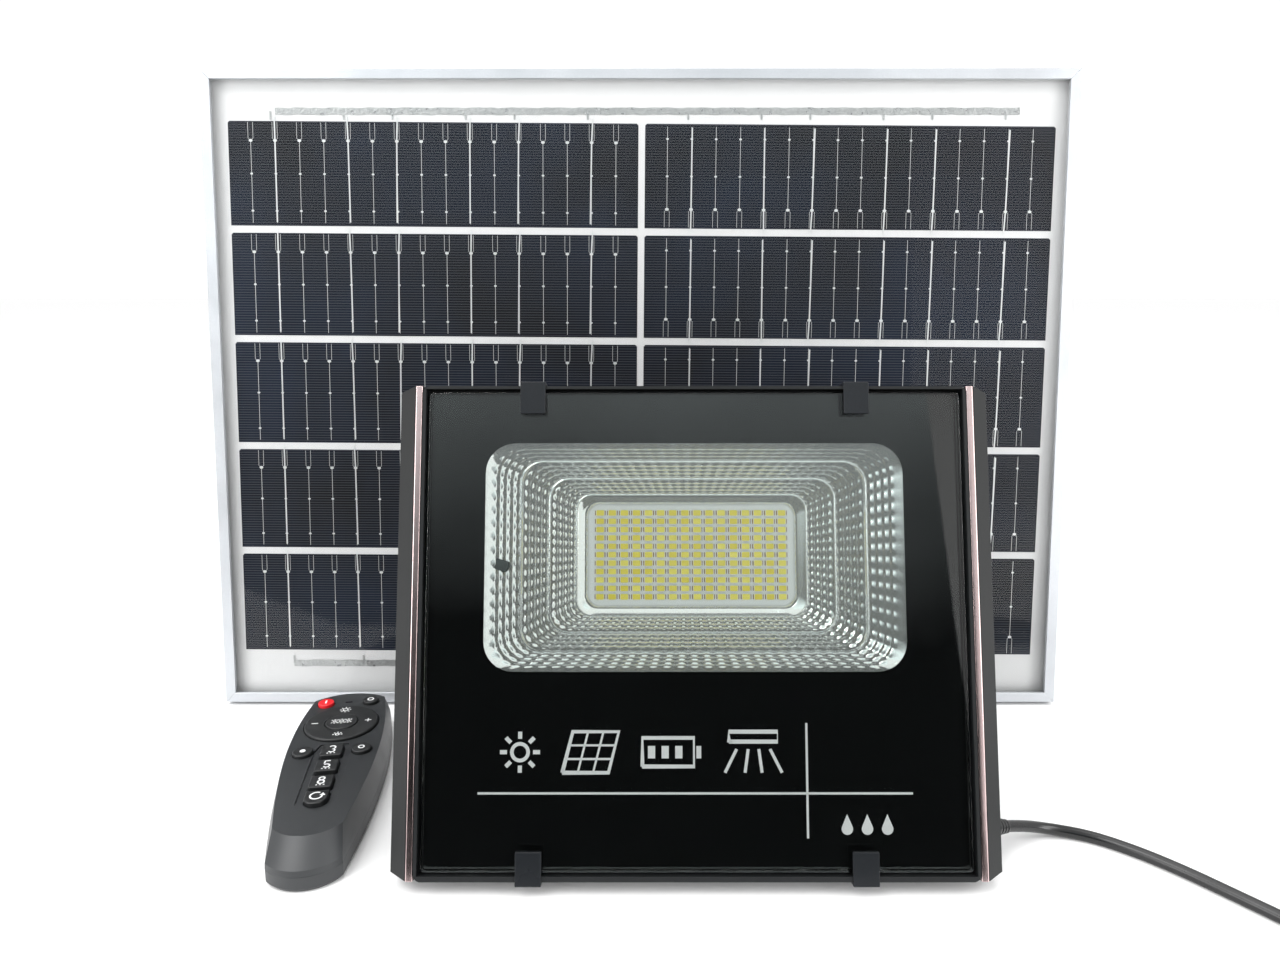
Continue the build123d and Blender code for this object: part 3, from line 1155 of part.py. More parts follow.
with BuildPart() as ring_gimbal:
    with BuildSketch(level(keypad_top + WEB_LIFT)):
        with Locations((0, RING_Y)):
            Circle(WEB_OUTER_R)
            Circle(WEB_INNER_R, mode=Mode.SUBTRACT)
    extrude(amount=WEB_T)
store("ring_gimbal", ring_gimbal.part, REMOTE)

# ================================================================ the kit
# Its origin is on the table, in the middle of the floor that the three articles take.
ON_THE_LEAD = ("strain_relief", "cord_tube", "cord_coil", "cord_tie", "connector", "connector_collar")
placed = {name: place * part for name, (part, place) in pieces.items()}
boxes = [part.bounding_box() for name, part in placed.items() if name not in ON_THE_LEAD]
kit_x = (min(box.min.X for box in boxes) + max(box.max.X for box in boxes)) / 2
kit_y = (min(box.min.Y for box in boxes) + max(box.max.Y for box in boxes)) / 2
KIT = Location((-kit_x, -kit_y, 0))
print("kit middle", round(kit_x, 3), round(kit_y, 3), "pieces", len(placed))

os.makedirs("parts", exist_ok=True)
for name, part in placed.items():
    whole = KIT * part
    whole.label = name
    export_step(whole, f"parts/{name}.step")
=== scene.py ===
"""Looks for the solar flood light kit: flood lamp, solar panel, remote control and lead.

Every mesh is in metres. An article's own frame has X right, Y back and Z up, with its
origin in the middle of its front bottom edge, and a Stand places it in the row frame.
"""

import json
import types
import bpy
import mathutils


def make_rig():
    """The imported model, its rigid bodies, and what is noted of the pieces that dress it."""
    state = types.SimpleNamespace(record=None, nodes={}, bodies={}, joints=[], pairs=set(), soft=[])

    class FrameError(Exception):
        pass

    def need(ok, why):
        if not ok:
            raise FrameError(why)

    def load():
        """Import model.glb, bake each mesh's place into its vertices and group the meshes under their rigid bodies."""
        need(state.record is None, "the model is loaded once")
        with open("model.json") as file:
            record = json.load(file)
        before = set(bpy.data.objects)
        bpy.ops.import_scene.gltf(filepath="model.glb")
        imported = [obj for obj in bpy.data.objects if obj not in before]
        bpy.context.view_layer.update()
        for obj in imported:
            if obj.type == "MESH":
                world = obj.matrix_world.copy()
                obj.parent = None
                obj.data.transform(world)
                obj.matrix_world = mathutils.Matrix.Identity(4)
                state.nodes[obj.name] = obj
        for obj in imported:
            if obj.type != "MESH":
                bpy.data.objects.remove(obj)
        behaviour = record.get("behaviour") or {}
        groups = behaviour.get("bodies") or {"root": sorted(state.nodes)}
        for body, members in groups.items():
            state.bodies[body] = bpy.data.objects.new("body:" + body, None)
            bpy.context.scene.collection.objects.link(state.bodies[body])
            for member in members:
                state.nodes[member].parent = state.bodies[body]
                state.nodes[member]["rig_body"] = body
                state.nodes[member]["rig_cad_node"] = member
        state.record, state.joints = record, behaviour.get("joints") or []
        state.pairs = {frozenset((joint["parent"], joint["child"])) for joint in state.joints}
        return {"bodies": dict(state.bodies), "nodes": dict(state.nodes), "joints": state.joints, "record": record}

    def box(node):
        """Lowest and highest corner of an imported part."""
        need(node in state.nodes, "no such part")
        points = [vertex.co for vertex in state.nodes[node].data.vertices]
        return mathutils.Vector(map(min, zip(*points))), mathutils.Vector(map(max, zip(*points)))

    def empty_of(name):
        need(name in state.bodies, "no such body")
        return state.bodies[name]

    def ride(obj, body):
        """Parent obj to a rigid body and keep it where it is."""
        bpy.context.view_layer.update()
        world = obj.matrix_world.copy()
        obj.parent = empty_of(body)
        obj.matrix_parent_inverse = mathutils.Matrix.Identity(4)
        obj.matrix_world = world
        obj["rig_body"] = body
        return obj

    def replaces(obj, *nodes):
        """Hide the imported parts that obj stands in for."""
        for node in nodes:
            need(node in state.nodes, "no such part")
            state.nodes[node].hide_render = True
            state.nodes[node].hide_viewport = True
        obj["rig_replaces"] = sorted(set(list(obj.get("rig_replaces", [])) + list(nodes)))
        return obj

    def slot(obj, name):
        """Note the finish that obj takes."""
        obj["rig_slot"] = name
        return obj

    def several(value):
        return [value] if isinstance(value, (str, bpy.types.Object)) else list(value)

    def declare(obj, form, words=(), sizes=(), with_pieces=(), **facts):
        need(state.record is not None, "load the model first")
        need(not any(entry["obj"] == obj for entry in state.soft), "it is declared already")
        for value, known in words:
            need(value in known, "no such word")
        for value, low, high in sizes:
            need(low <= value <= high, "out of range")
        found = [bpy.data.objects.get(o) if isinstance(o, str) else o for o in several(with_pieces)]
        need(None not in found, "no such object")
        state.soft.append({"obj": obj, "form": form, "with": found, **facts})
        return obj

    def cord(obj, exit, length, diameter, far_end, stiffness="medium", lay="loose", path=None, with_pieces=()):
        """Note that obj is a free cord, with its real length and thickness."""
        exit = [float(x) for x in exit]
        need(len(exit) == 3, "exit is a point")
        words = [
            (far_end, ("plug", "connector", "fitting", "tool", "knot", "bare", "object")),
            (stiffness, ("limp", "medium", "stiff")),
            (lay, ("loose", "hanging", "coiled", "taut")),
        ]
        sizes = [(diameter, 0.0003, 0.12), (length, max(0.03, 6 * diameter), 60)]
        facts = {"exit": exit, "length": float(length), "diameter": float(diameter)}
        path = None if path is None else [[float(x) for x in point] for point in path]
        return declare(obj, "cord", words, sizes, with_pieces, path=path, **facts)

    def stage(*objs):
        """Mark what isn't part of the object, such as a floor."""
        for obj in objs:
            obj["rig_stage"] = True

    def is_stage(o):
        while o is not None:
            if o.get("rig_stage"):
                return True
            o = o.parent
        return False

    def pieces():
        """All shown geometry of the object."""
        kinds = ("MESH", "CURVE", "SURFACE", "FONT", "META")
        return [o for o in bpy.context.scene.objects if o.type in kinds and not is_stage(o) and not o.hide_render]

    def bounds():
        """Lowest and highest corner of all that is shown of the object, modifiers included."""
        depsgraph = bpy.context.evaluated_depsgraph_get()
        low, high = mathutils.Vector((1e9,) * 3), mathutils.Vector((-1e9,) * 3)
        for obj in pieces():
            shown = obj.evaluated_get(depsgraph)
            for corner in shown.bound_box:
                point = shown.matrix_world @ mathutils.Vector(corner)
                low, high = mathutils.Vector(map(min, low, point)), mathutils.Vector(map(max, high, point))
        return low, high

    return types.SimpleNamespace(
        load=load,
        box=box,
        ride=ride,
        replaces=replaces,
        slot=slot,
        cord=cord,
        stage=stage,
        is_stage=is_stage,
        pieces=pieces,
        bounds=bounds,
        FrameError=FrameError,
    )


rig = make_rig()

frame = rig.load()

import json
import logging
import math
from abc import ABC, abstractmethod
from dataclasses import dataclass, field
from enum import Enum
from typing import Any, Callable, Iterable, Optional, Sequence

import bmesh
import bpy
from bmesh.types import BMesh
from bpy.types import ID, Material, Node, NodeSocket, NodeTree, Object
from mathutils import Matrix, Vector

log = logging.getLogger("flood_light")

MM = 0.001
Point2 = tuple[float, float]
Point3 = tuple[float, float, float]
Outline = list[Point2]
CAD_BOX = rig.bounds()


# ---------------------------------------------------------------- node and colour helpers
def linear(colour: str) -> tuple[float, float, float, float]:
    """Turn an sRGB hex colour into a linear one.

    Args:
        colour: Six hex digits after a "#".

    Returns:
        Linear red, green, blue and an alpha of 1.
    """
    parts = [int(colour[i : i + 2], 16) / 255 for i in (1, 3, 5)]
    red, green, blue = (c / 12.92 if c <= 0.04045 else ((c + 0.055) / 1.055) ** 2.4 for c in parts)
    return (red, green, blue, 1.0)


def add_node(
    tree: NodeTree,
    kind: str,
    inputs: Optional[dict[Any, Any]] = None,
    **settings: Any,
) -> Node:
    """Add a node with its settings and links.

    Args:
        tree: Node tree that gets the node.
        kind: Blender's identifier of the node type.
        inputs: Input name or index to a value, or to the socket that feeds it.
        settings: The node's own properties.

    Returns:
        The new node.
    """
    node = tree.nodes.new(kind)
    for name, value in settings.items():
        setattr(node, name, value)
    for key, value in (inputs or {}).items():
        if isinstance(value, NodeSocket):
            tree.links.new(value, node.inputs[key])
        else:
            node.inputs[key].default_value = value
    return node


def object_place(tree: NodeTree) -> NodeSocket:
    """Give a surface point's place on its own object, in metres."""
    return add_node(tree, "ShaderNodeTexCoord").outputs["Object"]


def clouds(
    tree: NodeTree, place: NodeSocket, width_mm: float, detail: float = 2.0, roughness: float = 0.5
) -> NodeSocket:
    """Add cloudy noise.

    Args:
        tree: Node tree that gets it.
        place: Where it is read.
        width_mm: Width of its patches.
        detail: Layers of finer noise on top.
        roughness: Strength of each finer layer.

    Returns:
        Its height, from 0 to 1.
    """
    inputs = {"Vector": place, "Scale": 1 / (width_mm * MM), "Detail": detail, "Roughness": roughness}
    return add_node(tree, "ShaderNodeTexNoise", inputs).outputs["Fac"]


def maths(tree: NodeTree, operation: str, *values: Any) -> NodeSocket:
    """Add a sum of values or sockets, and give its result."""
    return add_node(tree, "ShaderNodeMath", dict(enumerate(values)), operation=operation).outputs[0]


def mixed(tree: NodeTree, share: Any, first: Any, second: Any) -> NodeSocket:
    """Mix two colours, and give the mixture."""
    inputs = {"Factor": share, "A": first, "B": second}
    return add_node(tree, "ShaderNodeMix", inputs, data_type="RGBA").outputs["Result"]


def ranged(tree: NodeTree, value: Any, source: Point2, target: Point2) -> NodeSocket:
    """Carry a value from one range over to another, and give the result."""
    names = ("Value", "From Min", "From Max", "To Min", "To Max")
    return add_node(tree, "ShaderNodeMapRange", dict(zip(names, (value, *source, *target)))).outputs[0]


def bumped(tree: NodeTree, height: Any, strength: float, depth_mm: float) -> NodeSocket:
    """Give normals bent by a relief of a given depth."""
    inputs = {"Height": height, "Strength": strength, "Distance": depth_mm * MM}
    return add_node(tree, "ShaderNodeBump", inputs).outputs[0]


def blank_material(name: str) -> Material:
    """Make a material with no nodes in it yet."""
    made = bpy.data.materials.new(name)
    made.use_nodes = True
    made.node_tree.nodes.clear()
    return made


# ---------------------------------------------------------------- finishes
class Grain(Enum):
    """How a surface's fine relief runs."""

    EVEN = (1.0, 1.0, 1.0)
    ALONG_X = (0.02, 1.0, 1.0)
    ALONG_Z = (1.0, 1.0, 0.02)


@dataclass(frozen=True)
class Finish(ABC):
    """A material and how its surface was made."""

    name: str

    def material(self) -> Material:
        """Build the material once, and give the same one after that."""
        found = bpy.data.materials.get(self.name)
        if found is not None:
            return found
        made = blank_material(self.name)
        add_node(made.node_tree, "ShaderNodeOutputMaterial", {"Surface": self.surface(made.node_tree)})
        return made

    @abstractmethod
    def surface(self, tree: NodeTree) -> NodeSocket:
        """Build the shader and give its output socket."""


@dataclass(frozen=True)
class Grained(Finish):
    """Solid surface with a fine relief, cloudy colour and uneven gloss.

    The grain is the relief's width, and the smudge is the width of the patches where
    handling and dust change the colour and gloss.
    """

    dark: str
    light: str
    roughness: float
    spread: float = 0.06
    metallic: float = 0.0
    ior: float = 1.5
    grain_mm: float = 0.8
    relief_mm: float = 0.03
    grain: Grain = Grain.EVEN
    smudge_mm: float = 30.0

    def relief(self, tree: NodeTree) -> NodeSocket:
        """Give the height of the fine relief, from 0 to 1."""
        run = add_node(tree, "ShaderNodeMapping", {"Vector": object_place(tree), "Scale": self.grain.value})
        return clouds(tree, run.outputs[0], self.grain_mm, 3.0)

    def surface(self, tree: NodeTree) -> NodeSocket:
        """Build the shader and give its output socket."""
        glossiest = 0.02
        cloud = clouds(tree, object_place(tree), self.smudge_mm, 5.0, 0.6)
        height = self.relief(tree)
        paleness = maths(tree, "MULTIPLY_ADD", cloud, height, 0.15)
        gloss = (max(self.roughness - self.spread, glossiest), self.roughness + self.spread)
        inputs = {
            "Base Color": mixed(tree, paleness, linear(self.dark), linear(self.light)),
            "Roughness": ranged(tree, cloud, (0.3, 0.7), gloss),
            "Normal": bumped(tree, height, 0.6, self.relief_mm),
            "Metallic": self.metallic,
            "IOR": self.ior,
        }
        return add_node(tree, "ShaderNodeBsdfPrincipled", inputs).outputs[0]


@dataclass(frozen=True)
class PowderCoat(Grained):
    """Baked powder on metal, whose melted grains leave a shallow orange peel."""

    def relief(self, tree: NodeTree) -> NodeSocket:
        """Give the height of the orange peel, from 0 to 1."""
        inputs = {"Vector": object_place(tree), "Scale": 1 / (self.grain_mm * MM), "Smoothness": 1.0}
        return add_node(tree, "ShaderNodeTexVoronoi", inputs, feature="SMOOTH_F1").outputs["Distance"]


@dataclass(frozen=True)
class ThinGlass(Finish):
    """Polished sheet glass, clear straight on and mirror-like at a slant."""

    tint: str
    roughness: float = 0.02
    ior: float = 1.45
    # rolled sheet glass is flat to about 0.02 mm over a palm's width
    wave_mm: float = 60.0
    wave_height_mm: float = 0.02

    def surface(self, tree: NodeTree) -> NodeSocket:
        """Build the shader and give its output socket."""
        wave = clouds(tree, object_place(tree), self.wave_mm, 1.0)
        bent = bumped(tree, wave, 0.5, self.wave_height_mm)
        clear = add_node(tree, "ShaderNodeBsdfTransparent", {"Color": linear(self.tint)})
        gloss = {"Color": linear("#ffffff"), "Roughness": self.roughness, "Normal": bent}
        mirror = add_node(tree, "ShaderNodeBsdfGlossy", gloss)
        share = add_node(tree, "ShaderNodeFresnel", {"IOR": self.ior, "Normal": bent})
        parts = dict(enumerate(node.outputs[0] for node in (share, clear, mirror)))
        return add_node(tree, "ShaderNodeMixShader", parts).outputs[0]


@dataclass(frozen=True)
class TexturedSilicon(Finish):
    """Etched silicon under blue nitride, with silver fingers printed across it."""

    # fingers are about 0.04 mm wide; they are drawn wider, so that they show
    finger_pitch_mm: float = 1.15
    finger_share: float = 0.3
    finger_strength: float = 0.42
    finger_colour: str = "#5a5d62"
    violet_black: str = "#131318"
    slate_blue: str = "#161e2d"
    drift_mm: float = 70.0
    pit_mm: float = 0.5
    pit_depth_mm: float = 0.02
    roughness: float = 0.42
    ior: float = 1.22

    def surface(self, tree: NodeTree) -> NodeSocket:
        """Build the shader and give its output socket."""
        place = object_place(tree)
        # the nitride's thickness drifts over the wafer, and its colour with it
        drift = clouds(tree, place, self.drift_mm, 4.0, 0.55)
        nitride = add_node(tree, "ShaderNodeValToRGB", {"Fac": drift})
        ends = zip(nitride.color_ramp.elements, (0.34, 0.66), (self.violet_black, self.slate_blue))
        for end, position, colour in ends:
            end.position, end.color = position, linear(colour)
        height = add_node(tree, "ShaderNodeSeparateXYZ", {0: place}).outputs["Z"]
        phase = maths(tree, "FRACT", maths(tree, "DIVIDE", height, self.finger_pitch_mm * MM))
        finger = maths(tree, "LESS_THAN", phase, self.finger_share)
        faint = maths(tree, "MULTIPLY", finger, self.finger_strength)
        inputs = {
            "Base Color": mixed(tree, faint, nitride.outputs[0], linear(self.finger_colour)),
            "Roughness": self.roughness,
            "IOR": self.ior,
            "Normal": bumped(tree, clouds(tree, place, self.pit_mm), 0.3, self.pit_depth_mm),
        }
        return add_node(tree, "ShaderNodeBsdfPrincipled", inputs).outputs[0]


@dataclass(frozen=True)
class Phosphor(Finish):
    """Cast silicone full of phosphor grains, with a slightly different batch in each LED."""

    pitch_x_mm: float
    pitch_z_mm: float
    dark: str = "#e6d446"
    light: str = "#f2e76c"
    grain_mm: float = 0.3
    relief_mm: float = 0.03
    roughness: float = 0.45

    def surface(self, tree: NodeTree) -> NodeSocket:
        """Build the shader and give its output socket."""
        place = object_place(tree)
        pitch = (self.pitch_x_mm * MM, 1.0, self.pitch_z_mm * MM)
        seat = add_node(tree, "ShaderNodeVectorMath", {0: place, 1: pitch}, operation="SNAP")
        batch = add_node(tree, "ShaderNodeTexWhiteNoise", {"Vector": seat.outputs[0]}).outputs["Value"]
        inputs = {
            "Base Color": mixed(tree, batch, linear(self.dark), linear(self.light)),
            "Roughness": self.roughness,
            "Normal": bumped(tree, clouds(tree, place, self.grain_mm), 0.4, self.relief_mm),
        }
        return add_node(tree, "ShaderNodeBsdfPrincipled", inputs).outputs[0]


HOUSING_PAINT = PowderCoat(
    "powder_coated_aluminium_charcoal", "#0e1011", "#1b1d1f", 0.5, ior=1.36, grain_mm=0.9,
)
# moulded ABS with a spark-eroded texture: greyer than the paint, and drier
RAIL_PLASTIC = Grained(
    "moulded_abs_charcoal", "#111213", "#1f2121", 0.5, ior=1.36, grain_mm=0.5, relief_mm=0.02,
)
# rolled bright aluminium strip; its pink colour is a painted reflection of a pinkish light, put into the metal's own
# colour
TRIM_METAL = Grained(
    "aluminium_trim_with_painted_pink_reflection", "#c4acab", "#e6d2d1", 0.2, metallic=1.0, grain=Grain.ALONG_Z,
    grain_mm=0.3, relief_mm=0.01,
)
# black oxide on spring steel: dark, with a faint oily gloss
CLIP_STEEL = PowderCoat(
    "black_oxide_spring_steel", "#15171a", "#1e2124", 0.3, ior=1.33, grain_mm=0.6, relief_mm=0.015,
)
# toughened float glass: clear, with a trace of green
GLASS = ThinGlass("toughened_soda_lime_glass", "#fcfefd")
# low-iron solar glass has an etched skin that hardly reflects
SOLAR_GLASS = ThinGlass("low_iron_solar_glass", "#fefefe", roughness=0.04, ior=1.18)
# fired ceramic enamel on the glass's back: dead black behind the polish
ENAMEL_BLACK = Grained(
    "screen_printed_black_enamel", "#090a0b", "#0d0e0f", 0.55, ior=1.1, grain_mm=0.4, relief_mm=0.0,
)
# fired white enamel: an even, slightly soft white
ENAMEL_WHITE = Grained(
    "screen_printed_white_enamel", "#e6e9e9", "#f6f8f8", 0.45, grain_mm=0.3, relief_mm=0.004,
)
# vacuum metallised polycarbonate: a mirror, softened by the moulding's own texture
METALLISED = Grained(
    "vacuum_metallised_polycarbonate", "#f6f8f7", "#feffff", 0.1, spread=0.03, metallic=0.76,
    grain_mm=0.6, relief_mm=0.01,
)
# printed solder mask, white under the LEDs and green on the hidden boards: a smooth lacquer
SOLDER_MASK_WHITE = Grained("white_solder_mask", "#dfe2e2", "#eef0f0", 0.38, grain_mm=0.5, relief_mm=0.004)
SOLDER_MASK_GREEN = Grained("green_solder_mask", "#0d4a2a", "#14633a", 0.35, grain_mm=0.5, relief_mm=0.004)
# moulded PPA: the opaque, faintly warm white of LED packages
LED_PACKAGE = Grained("moulded_white_ppa", "#d9dad4", "#f2f2ec", 0.4, grain_mm=0.4, relief_mm=0.004)
# copper foot under thin tin: a dull golden glint beside each LED
LED_TERMINAL = Grained("tinned_led_terminal", "#8a6a34", "#b78d3e", 0.35, metallic=0.7, grain_mm=0.4)
# moulded epoxy: smoky grey with a soft gloss
RECEIVER_PLASTIC = Grained("moulded_smoke_epoxy", "#3c4141", "#555b5b", 0.28, grain_mm=0.6, relief_mm=0.01)
# bright zinc plate on pressed steel: cool grey with soft glints
ZINC_STEEL = Grained(
    "zinc_plated_steel", "#8f9294", "#c2c4c4", 0.3, metallic=1.0, grain_mm=0.4, relief_mm=0.01,
)
# turned stainless steel: tighter, brighter glints than zinc
STAINLESS = Grained("turned_stainless_steel", "#9a9b9b", "#cfcfce", 0.26, metallic=1.0, grain_mm=0.3)
# moulded silicone: a dry black that takes no highlight
GASKET_RUBBER = Grained("moulded_silicone_rubber", "#0c0d0d", "#191a1a", 0.7, grain_mm=0.5, relief_mm=0.02)
# shrunk PVC film: the saturated blue of battery sleeves
CELL_SLEEVE = Grained("shrunk_pvc_sleeve", "#1b4f8c", "#2a6ab0", 0.3, grain_mm=1.0, relief_mm=0.01)
# moulded polypropylene: waxy black
HOLDER_PLASTIC = Grained("moulded_polypropylene_black", "#161717", "#262828", 0.5)
# moulded nylon: black with a soft broad sheen
GLAND_NYLON = Grained("moulded_nylon_black", "#101111", "#232525", 0.42, grain_mm=0.5, relief_mm=0.015)
# extruded PVC jacket: smooth black with long soft highlights
CABLE_PVC = Grained("extruded_pvc_black", "#08090a", "#131415", 0.27, grain_mm=0.7, relief_mm=0.008)
# extruded and clear anodised: cool silver with faint lines along the bar
FRAME_ALUMINIUM = Grained(
    "clear_anodised_aluminium", "#b3b6ba", "#d2d5d9", 0.36, metallic=0.75, grain_mm=0.5, relief_mm=0.006,
)
# laminated PET film: flat white, with a faint weave pressed through from the cells
BACKSHEET = Grained(
    "white_pet_backsheet", "#d2d3d3", "#dfe0e0", 0.4, grain_mm=0.7, relief_mm=0.02, grain=Grain.ALONG_Z,
)
# fired silver paste: pale matt grey lines
SILVER_PASTE = Grained(
    "fired_silver_paste", "#b9bcbb", "#dddfdd", 0.4, metallic=0.3, grain_mm=0.3, relief_mm=0.006,
)
# hot-tinned copper strip: brighter than the paste beneath it
SOLDERED_RIBBON = Grained("tinned_copper_ribbon", "#c6c9c8", "#eceeee", 0.34, metallic=0.45, grain_mm=0.6)
# hand-soldered bus ribbon: crinkled, with dull and bright patches of solder
CRINKLED_RIBBON = Grained(
    "hand_soldered_bus_ribbon", "#8e9191", "#d0d2d1", 0.36, spread=0.14, metallic=0.6,
    grain_mm=1.3, relief_mm=0.35, smudge_mm=3.0,
)
# alkaline-etched monocrystalline wafer: nearly black, with a blue cast
SILICON = TexturedSilicon("textured_monocrystalline_silicon")
# moulded PPO: dark grey, fine matt texture
JUNCTION_PLASTIC = Grained("moulded_ppo_black", "#151616", "#2a2c2c", 0.46, grain_mm=0.7)
# satin anodised sheet: pale grey, brushed along its length
STAND_ANODISED = Grained("satin_anodised_leg", "#9da1a4", "#c0c3c6", 0.4, metallic=0.7, grain=Grain.ALONG_X)
# powder on bent steel: a coarser peel than the housing's
BRACKET_PAINT = PowderCoat(
    "powder_coated_steel_black", "#17191a", "#2a2d2e", 0.46, grain_mm=1.0, relief_mm=0.04,
)
# moulded ABS with a fine matt texture: an even mid charcoal
REMOTE_ABS = Grained(
    "moulded_abs_handset", "#232527", "#2e3032", 0.42, grain_mm=0.35, relief_mm=0.012, smudge_mm=40,
)
# moulded silicone keys: black, smoother than the shell around them
KEY_RUBBER = Grained("moulded_silicone_key", "#111213", "#1c1e1f", 0.46, grain_mm=0.4, relief_mm=0.01)
# the same moulding in red, a little glossier
RED_RUBBER = Grained("moulded_red_silicone_key", "#d3121c", "#ee2630", 0.34, grain_mm=0.4, relief_mm=0.008)
# screen-printed ink: a crisp white that stands just proud
KEY_INK = Grained("screen_printed_white_ink", "#dfe1e1", "#f6f7f7", 0.5, grain_mm=0.3, relief_mm=0.004)
# moulded epoxy that only infrared passes: a glossy plum black
SMOKED_EPOXY = Grained("moulded_infrared_epoxy", "#120c12", "#241a24", 0.12, grain_mm=1.0, relief_mm=0.002)
# painted board, rolled on: pale and matt
PALE_FLOOR = Grained(
    "pale_painted_board", "#f3f3f3", "#f7f7f7", 0.75, grain_mm=1.5, relief_mm=0.01, smudge_mm=400,
)


# ---------------------------------------------------------------- mesh helpers
class Facing(Enum):
    """Which way a flat outline faces: out of an upright front, or up."""

    FRONT = "front"
    UP = "up"

    def point(self, u: float, v: float, depth: float) -> Vector:
        """Place an outline's point, in millimetres, at a depth or height."""
        across = (u, depth, v) if self is Facing.FRONT else (u, v, depth)
        return Vector(across) * MM


@dataclass(frozen=True)
class Stand:
    """Where an article stands: its origin, how far it leans back and which way it turns."""

    origin: Vector
    lean: float = 0.0
    turn: float = 0.0

    @property
    def matrix(self) -> Matrix:
        """The move from the article's own frame to the row frame."""
        turned = Matrix.Translation(self.origin) @ Matrix.Rotation(self.turn, 4, "Z")
        return turned @ Matrix.Rotation(-self.lean, 4, "X")


def rounded_rectangle(
    width: float, height: float, corner: float, mid: Point2 = (0, 0), steps: int = 8
) -> Outline:
    """Outline of a rounded rectangle, from the end of its right side, anticlockwise.

    Args:
        width: Size along the first axis.
        height: Size along the second axis.
        corner: Corner radius.
        mid: Middle point.
        steps: Steps round each corner.

    Returns:
        Its points.
    """
    points = []
    for quarter, (x_way, y_way) in enumerate(((1, 1), (-1, 1), (-1, -1), (1, -1))):
        centre_x = mid[0] + x_way * (width / 2 - corner)
        centre_y = mid[1] + y_way * (height / 2 - corner)
        for step in range(steps + 1):
            angle = (quarter + step / steps) * math.pi / 2
            points.append((centre_x + corner * math.cos(angle), centre_y + corner * math.sin(angle)))
    return points


def circle(radius: float, mid: Point2 = (0, 0), steps: int = 24, stretch: float = 1.0) -> Outline:
    """Outline of a circle, or of an ellipse with its second axis stretched."""
    return [
        (
            mid[0] + radius * math.cos(math.tau * step / steps),
            mid[1] + stretch * radius * math.sin(math.tau * step / steps),
        )
        for step in range(steps)
    ]


def arc(radius: float, mid: Point2, start: float, end: float, steps: int = 10) -> Outline:
    """Points along an arc, between two angles in degrees."""
    angles = [math.radians(start + (end - start) * step / steps) for step in range(steps + 1)]
    return [(mid[0] + radius * math.cos(angle), mid[1] + radius * math.sin(angle)) for angle in angles]


def slab(bm: BMesh, outline: Outline, near: float, far: float, facing: Facing, slot: int = 0) -> None:
    """Add a flat plate with a given outline.

    Args:
        bm: Mesh that gets the plate.
        outline: Its corners, in millimetres.
        near: Depth or height of one face.
        far: Depth or height of the other.
        facing: Which way the outline faces.
        slot: Material slot.
    """
    ends = [[bm.verts.new(facing.point(u, v, depth)) for u, v in outline] for depth in (near, far)]
    faces = [bm.faces.new(ends[0]), bm.faces.new(list(reversed(ends[1])))]
    for i, first in enumerate(ends[0]):
        after = (i + 1) % len(outline)
        faces.append(bm.faces.new((first, ends[1][i], ends[1][after], ends[0][after])))
    for face in faces:
        face.material_index = slot


def rim(
    bm: BMesh, outer: Outline, inner: Outline, near: float, far: float, facing: Facing, slot: int = 0
) -> None:
    """Add a flat plate with a hole; both outlines have the same number of points.

    Args:
        bm: Mesh that gets the plate.
        outer: Outside corners, in millimetres.
        inner: The hole's corners.
        near: Depth or height of one face.
        far: Depth or height of the other.
        facing: Which way the outline faces.
        slot: Material slot.
    """
    loops = [
        [bm.verts.new(facing.point(u, v, depth)) for u, v in outline]
        for outline, depth in ((outer, near), (outer, far), (inner, far), (inner, near))
    ]
    for here, there in zip(loops, loops[1:] + loops[:1]):
        for i in range(len(outer)):
            after = (i + 1) % len(outer)
            bm.faces.new((here[i], here[after], there[after], there[i])).material_index = slot


def stroke(
    bm: BMesh, points: Outline, width: float, near: float, far: float, facing: Facing, slot: int = 0
) -> None:
    """Add a plate of even width along a line of points, such as a printed stroke."""
    sides: tuple[Outline, Outline] = ([], [])
    for i, here in enumerate(points):
        before, after = Vector(points[max(i - 1, 0)]), Vector(points[min(i + 1, len(points) - 1)])
        across = (after - before).normalized().orthogonal() * width / 2
        for side, way in zip(sides, (1, -1)):
            side.append((here[0] + way * across.x, here[1] + way * across.y))
    for i in range(len(points) - 1):
        quad = [sides[0][i], sides[0][i + 1], sides[1][i + 1], sides[1][i]]
        slab(bm, quad, near, far, facing, slot)


def lathe(bm: BMesh, profile: Outline, steps: int = 32, slot: int = 0) -> None:
    """Turn a closed profile of (radius, distance along Y) points, in millimetres, about Y."""
    rings = []
    for step in range(steps):
        angle = math.tau * step / steps
        rings.append(
            [
                bm.verts.new(Vector((radius * math.cos(angle), along, radius * math.sin(angle))) * MM)
                for radius, along in profile
            ]
        )
    for here, there in zip(rings, rings[1:] + rings[:1]):
        for i in range(len(profile)):
            after = (i + 1) % len(profile)
            corners = (here[i], here[after], there[after], there[i])
            bm.faces.new(corners).material_index = slot


def smooth_by_angle(bm: BMesh, angle: float) -> None:
    """Shade faces smooth, with an edge kept sharp where they meet at more than an angle."""
    for face in bm.faces:
        face.smooth = True
    for edge in bm.edges:
        if len(edge.link_faces) == 2:
            edge.smooth = edge.calc_face_angle(0.0) < math.radians(angle)


def in_scene(name: str, data: ID) -> Object:
    """Put a new object in the scene."""
    obj = bpy.data.objects.new(name, data)
    bpy.context.scene.collection.objects.link(obj)
    return obj


def mesh_object(name: str, bm: BMesh) -> Object:
    """Put a mesh, which is freed, in the scene as an object."""
    mesh = bpy.data.meshes.new(name)
    bm.to_mesh(mesh)
    bm.free()
    return in_scene(name, mesh)


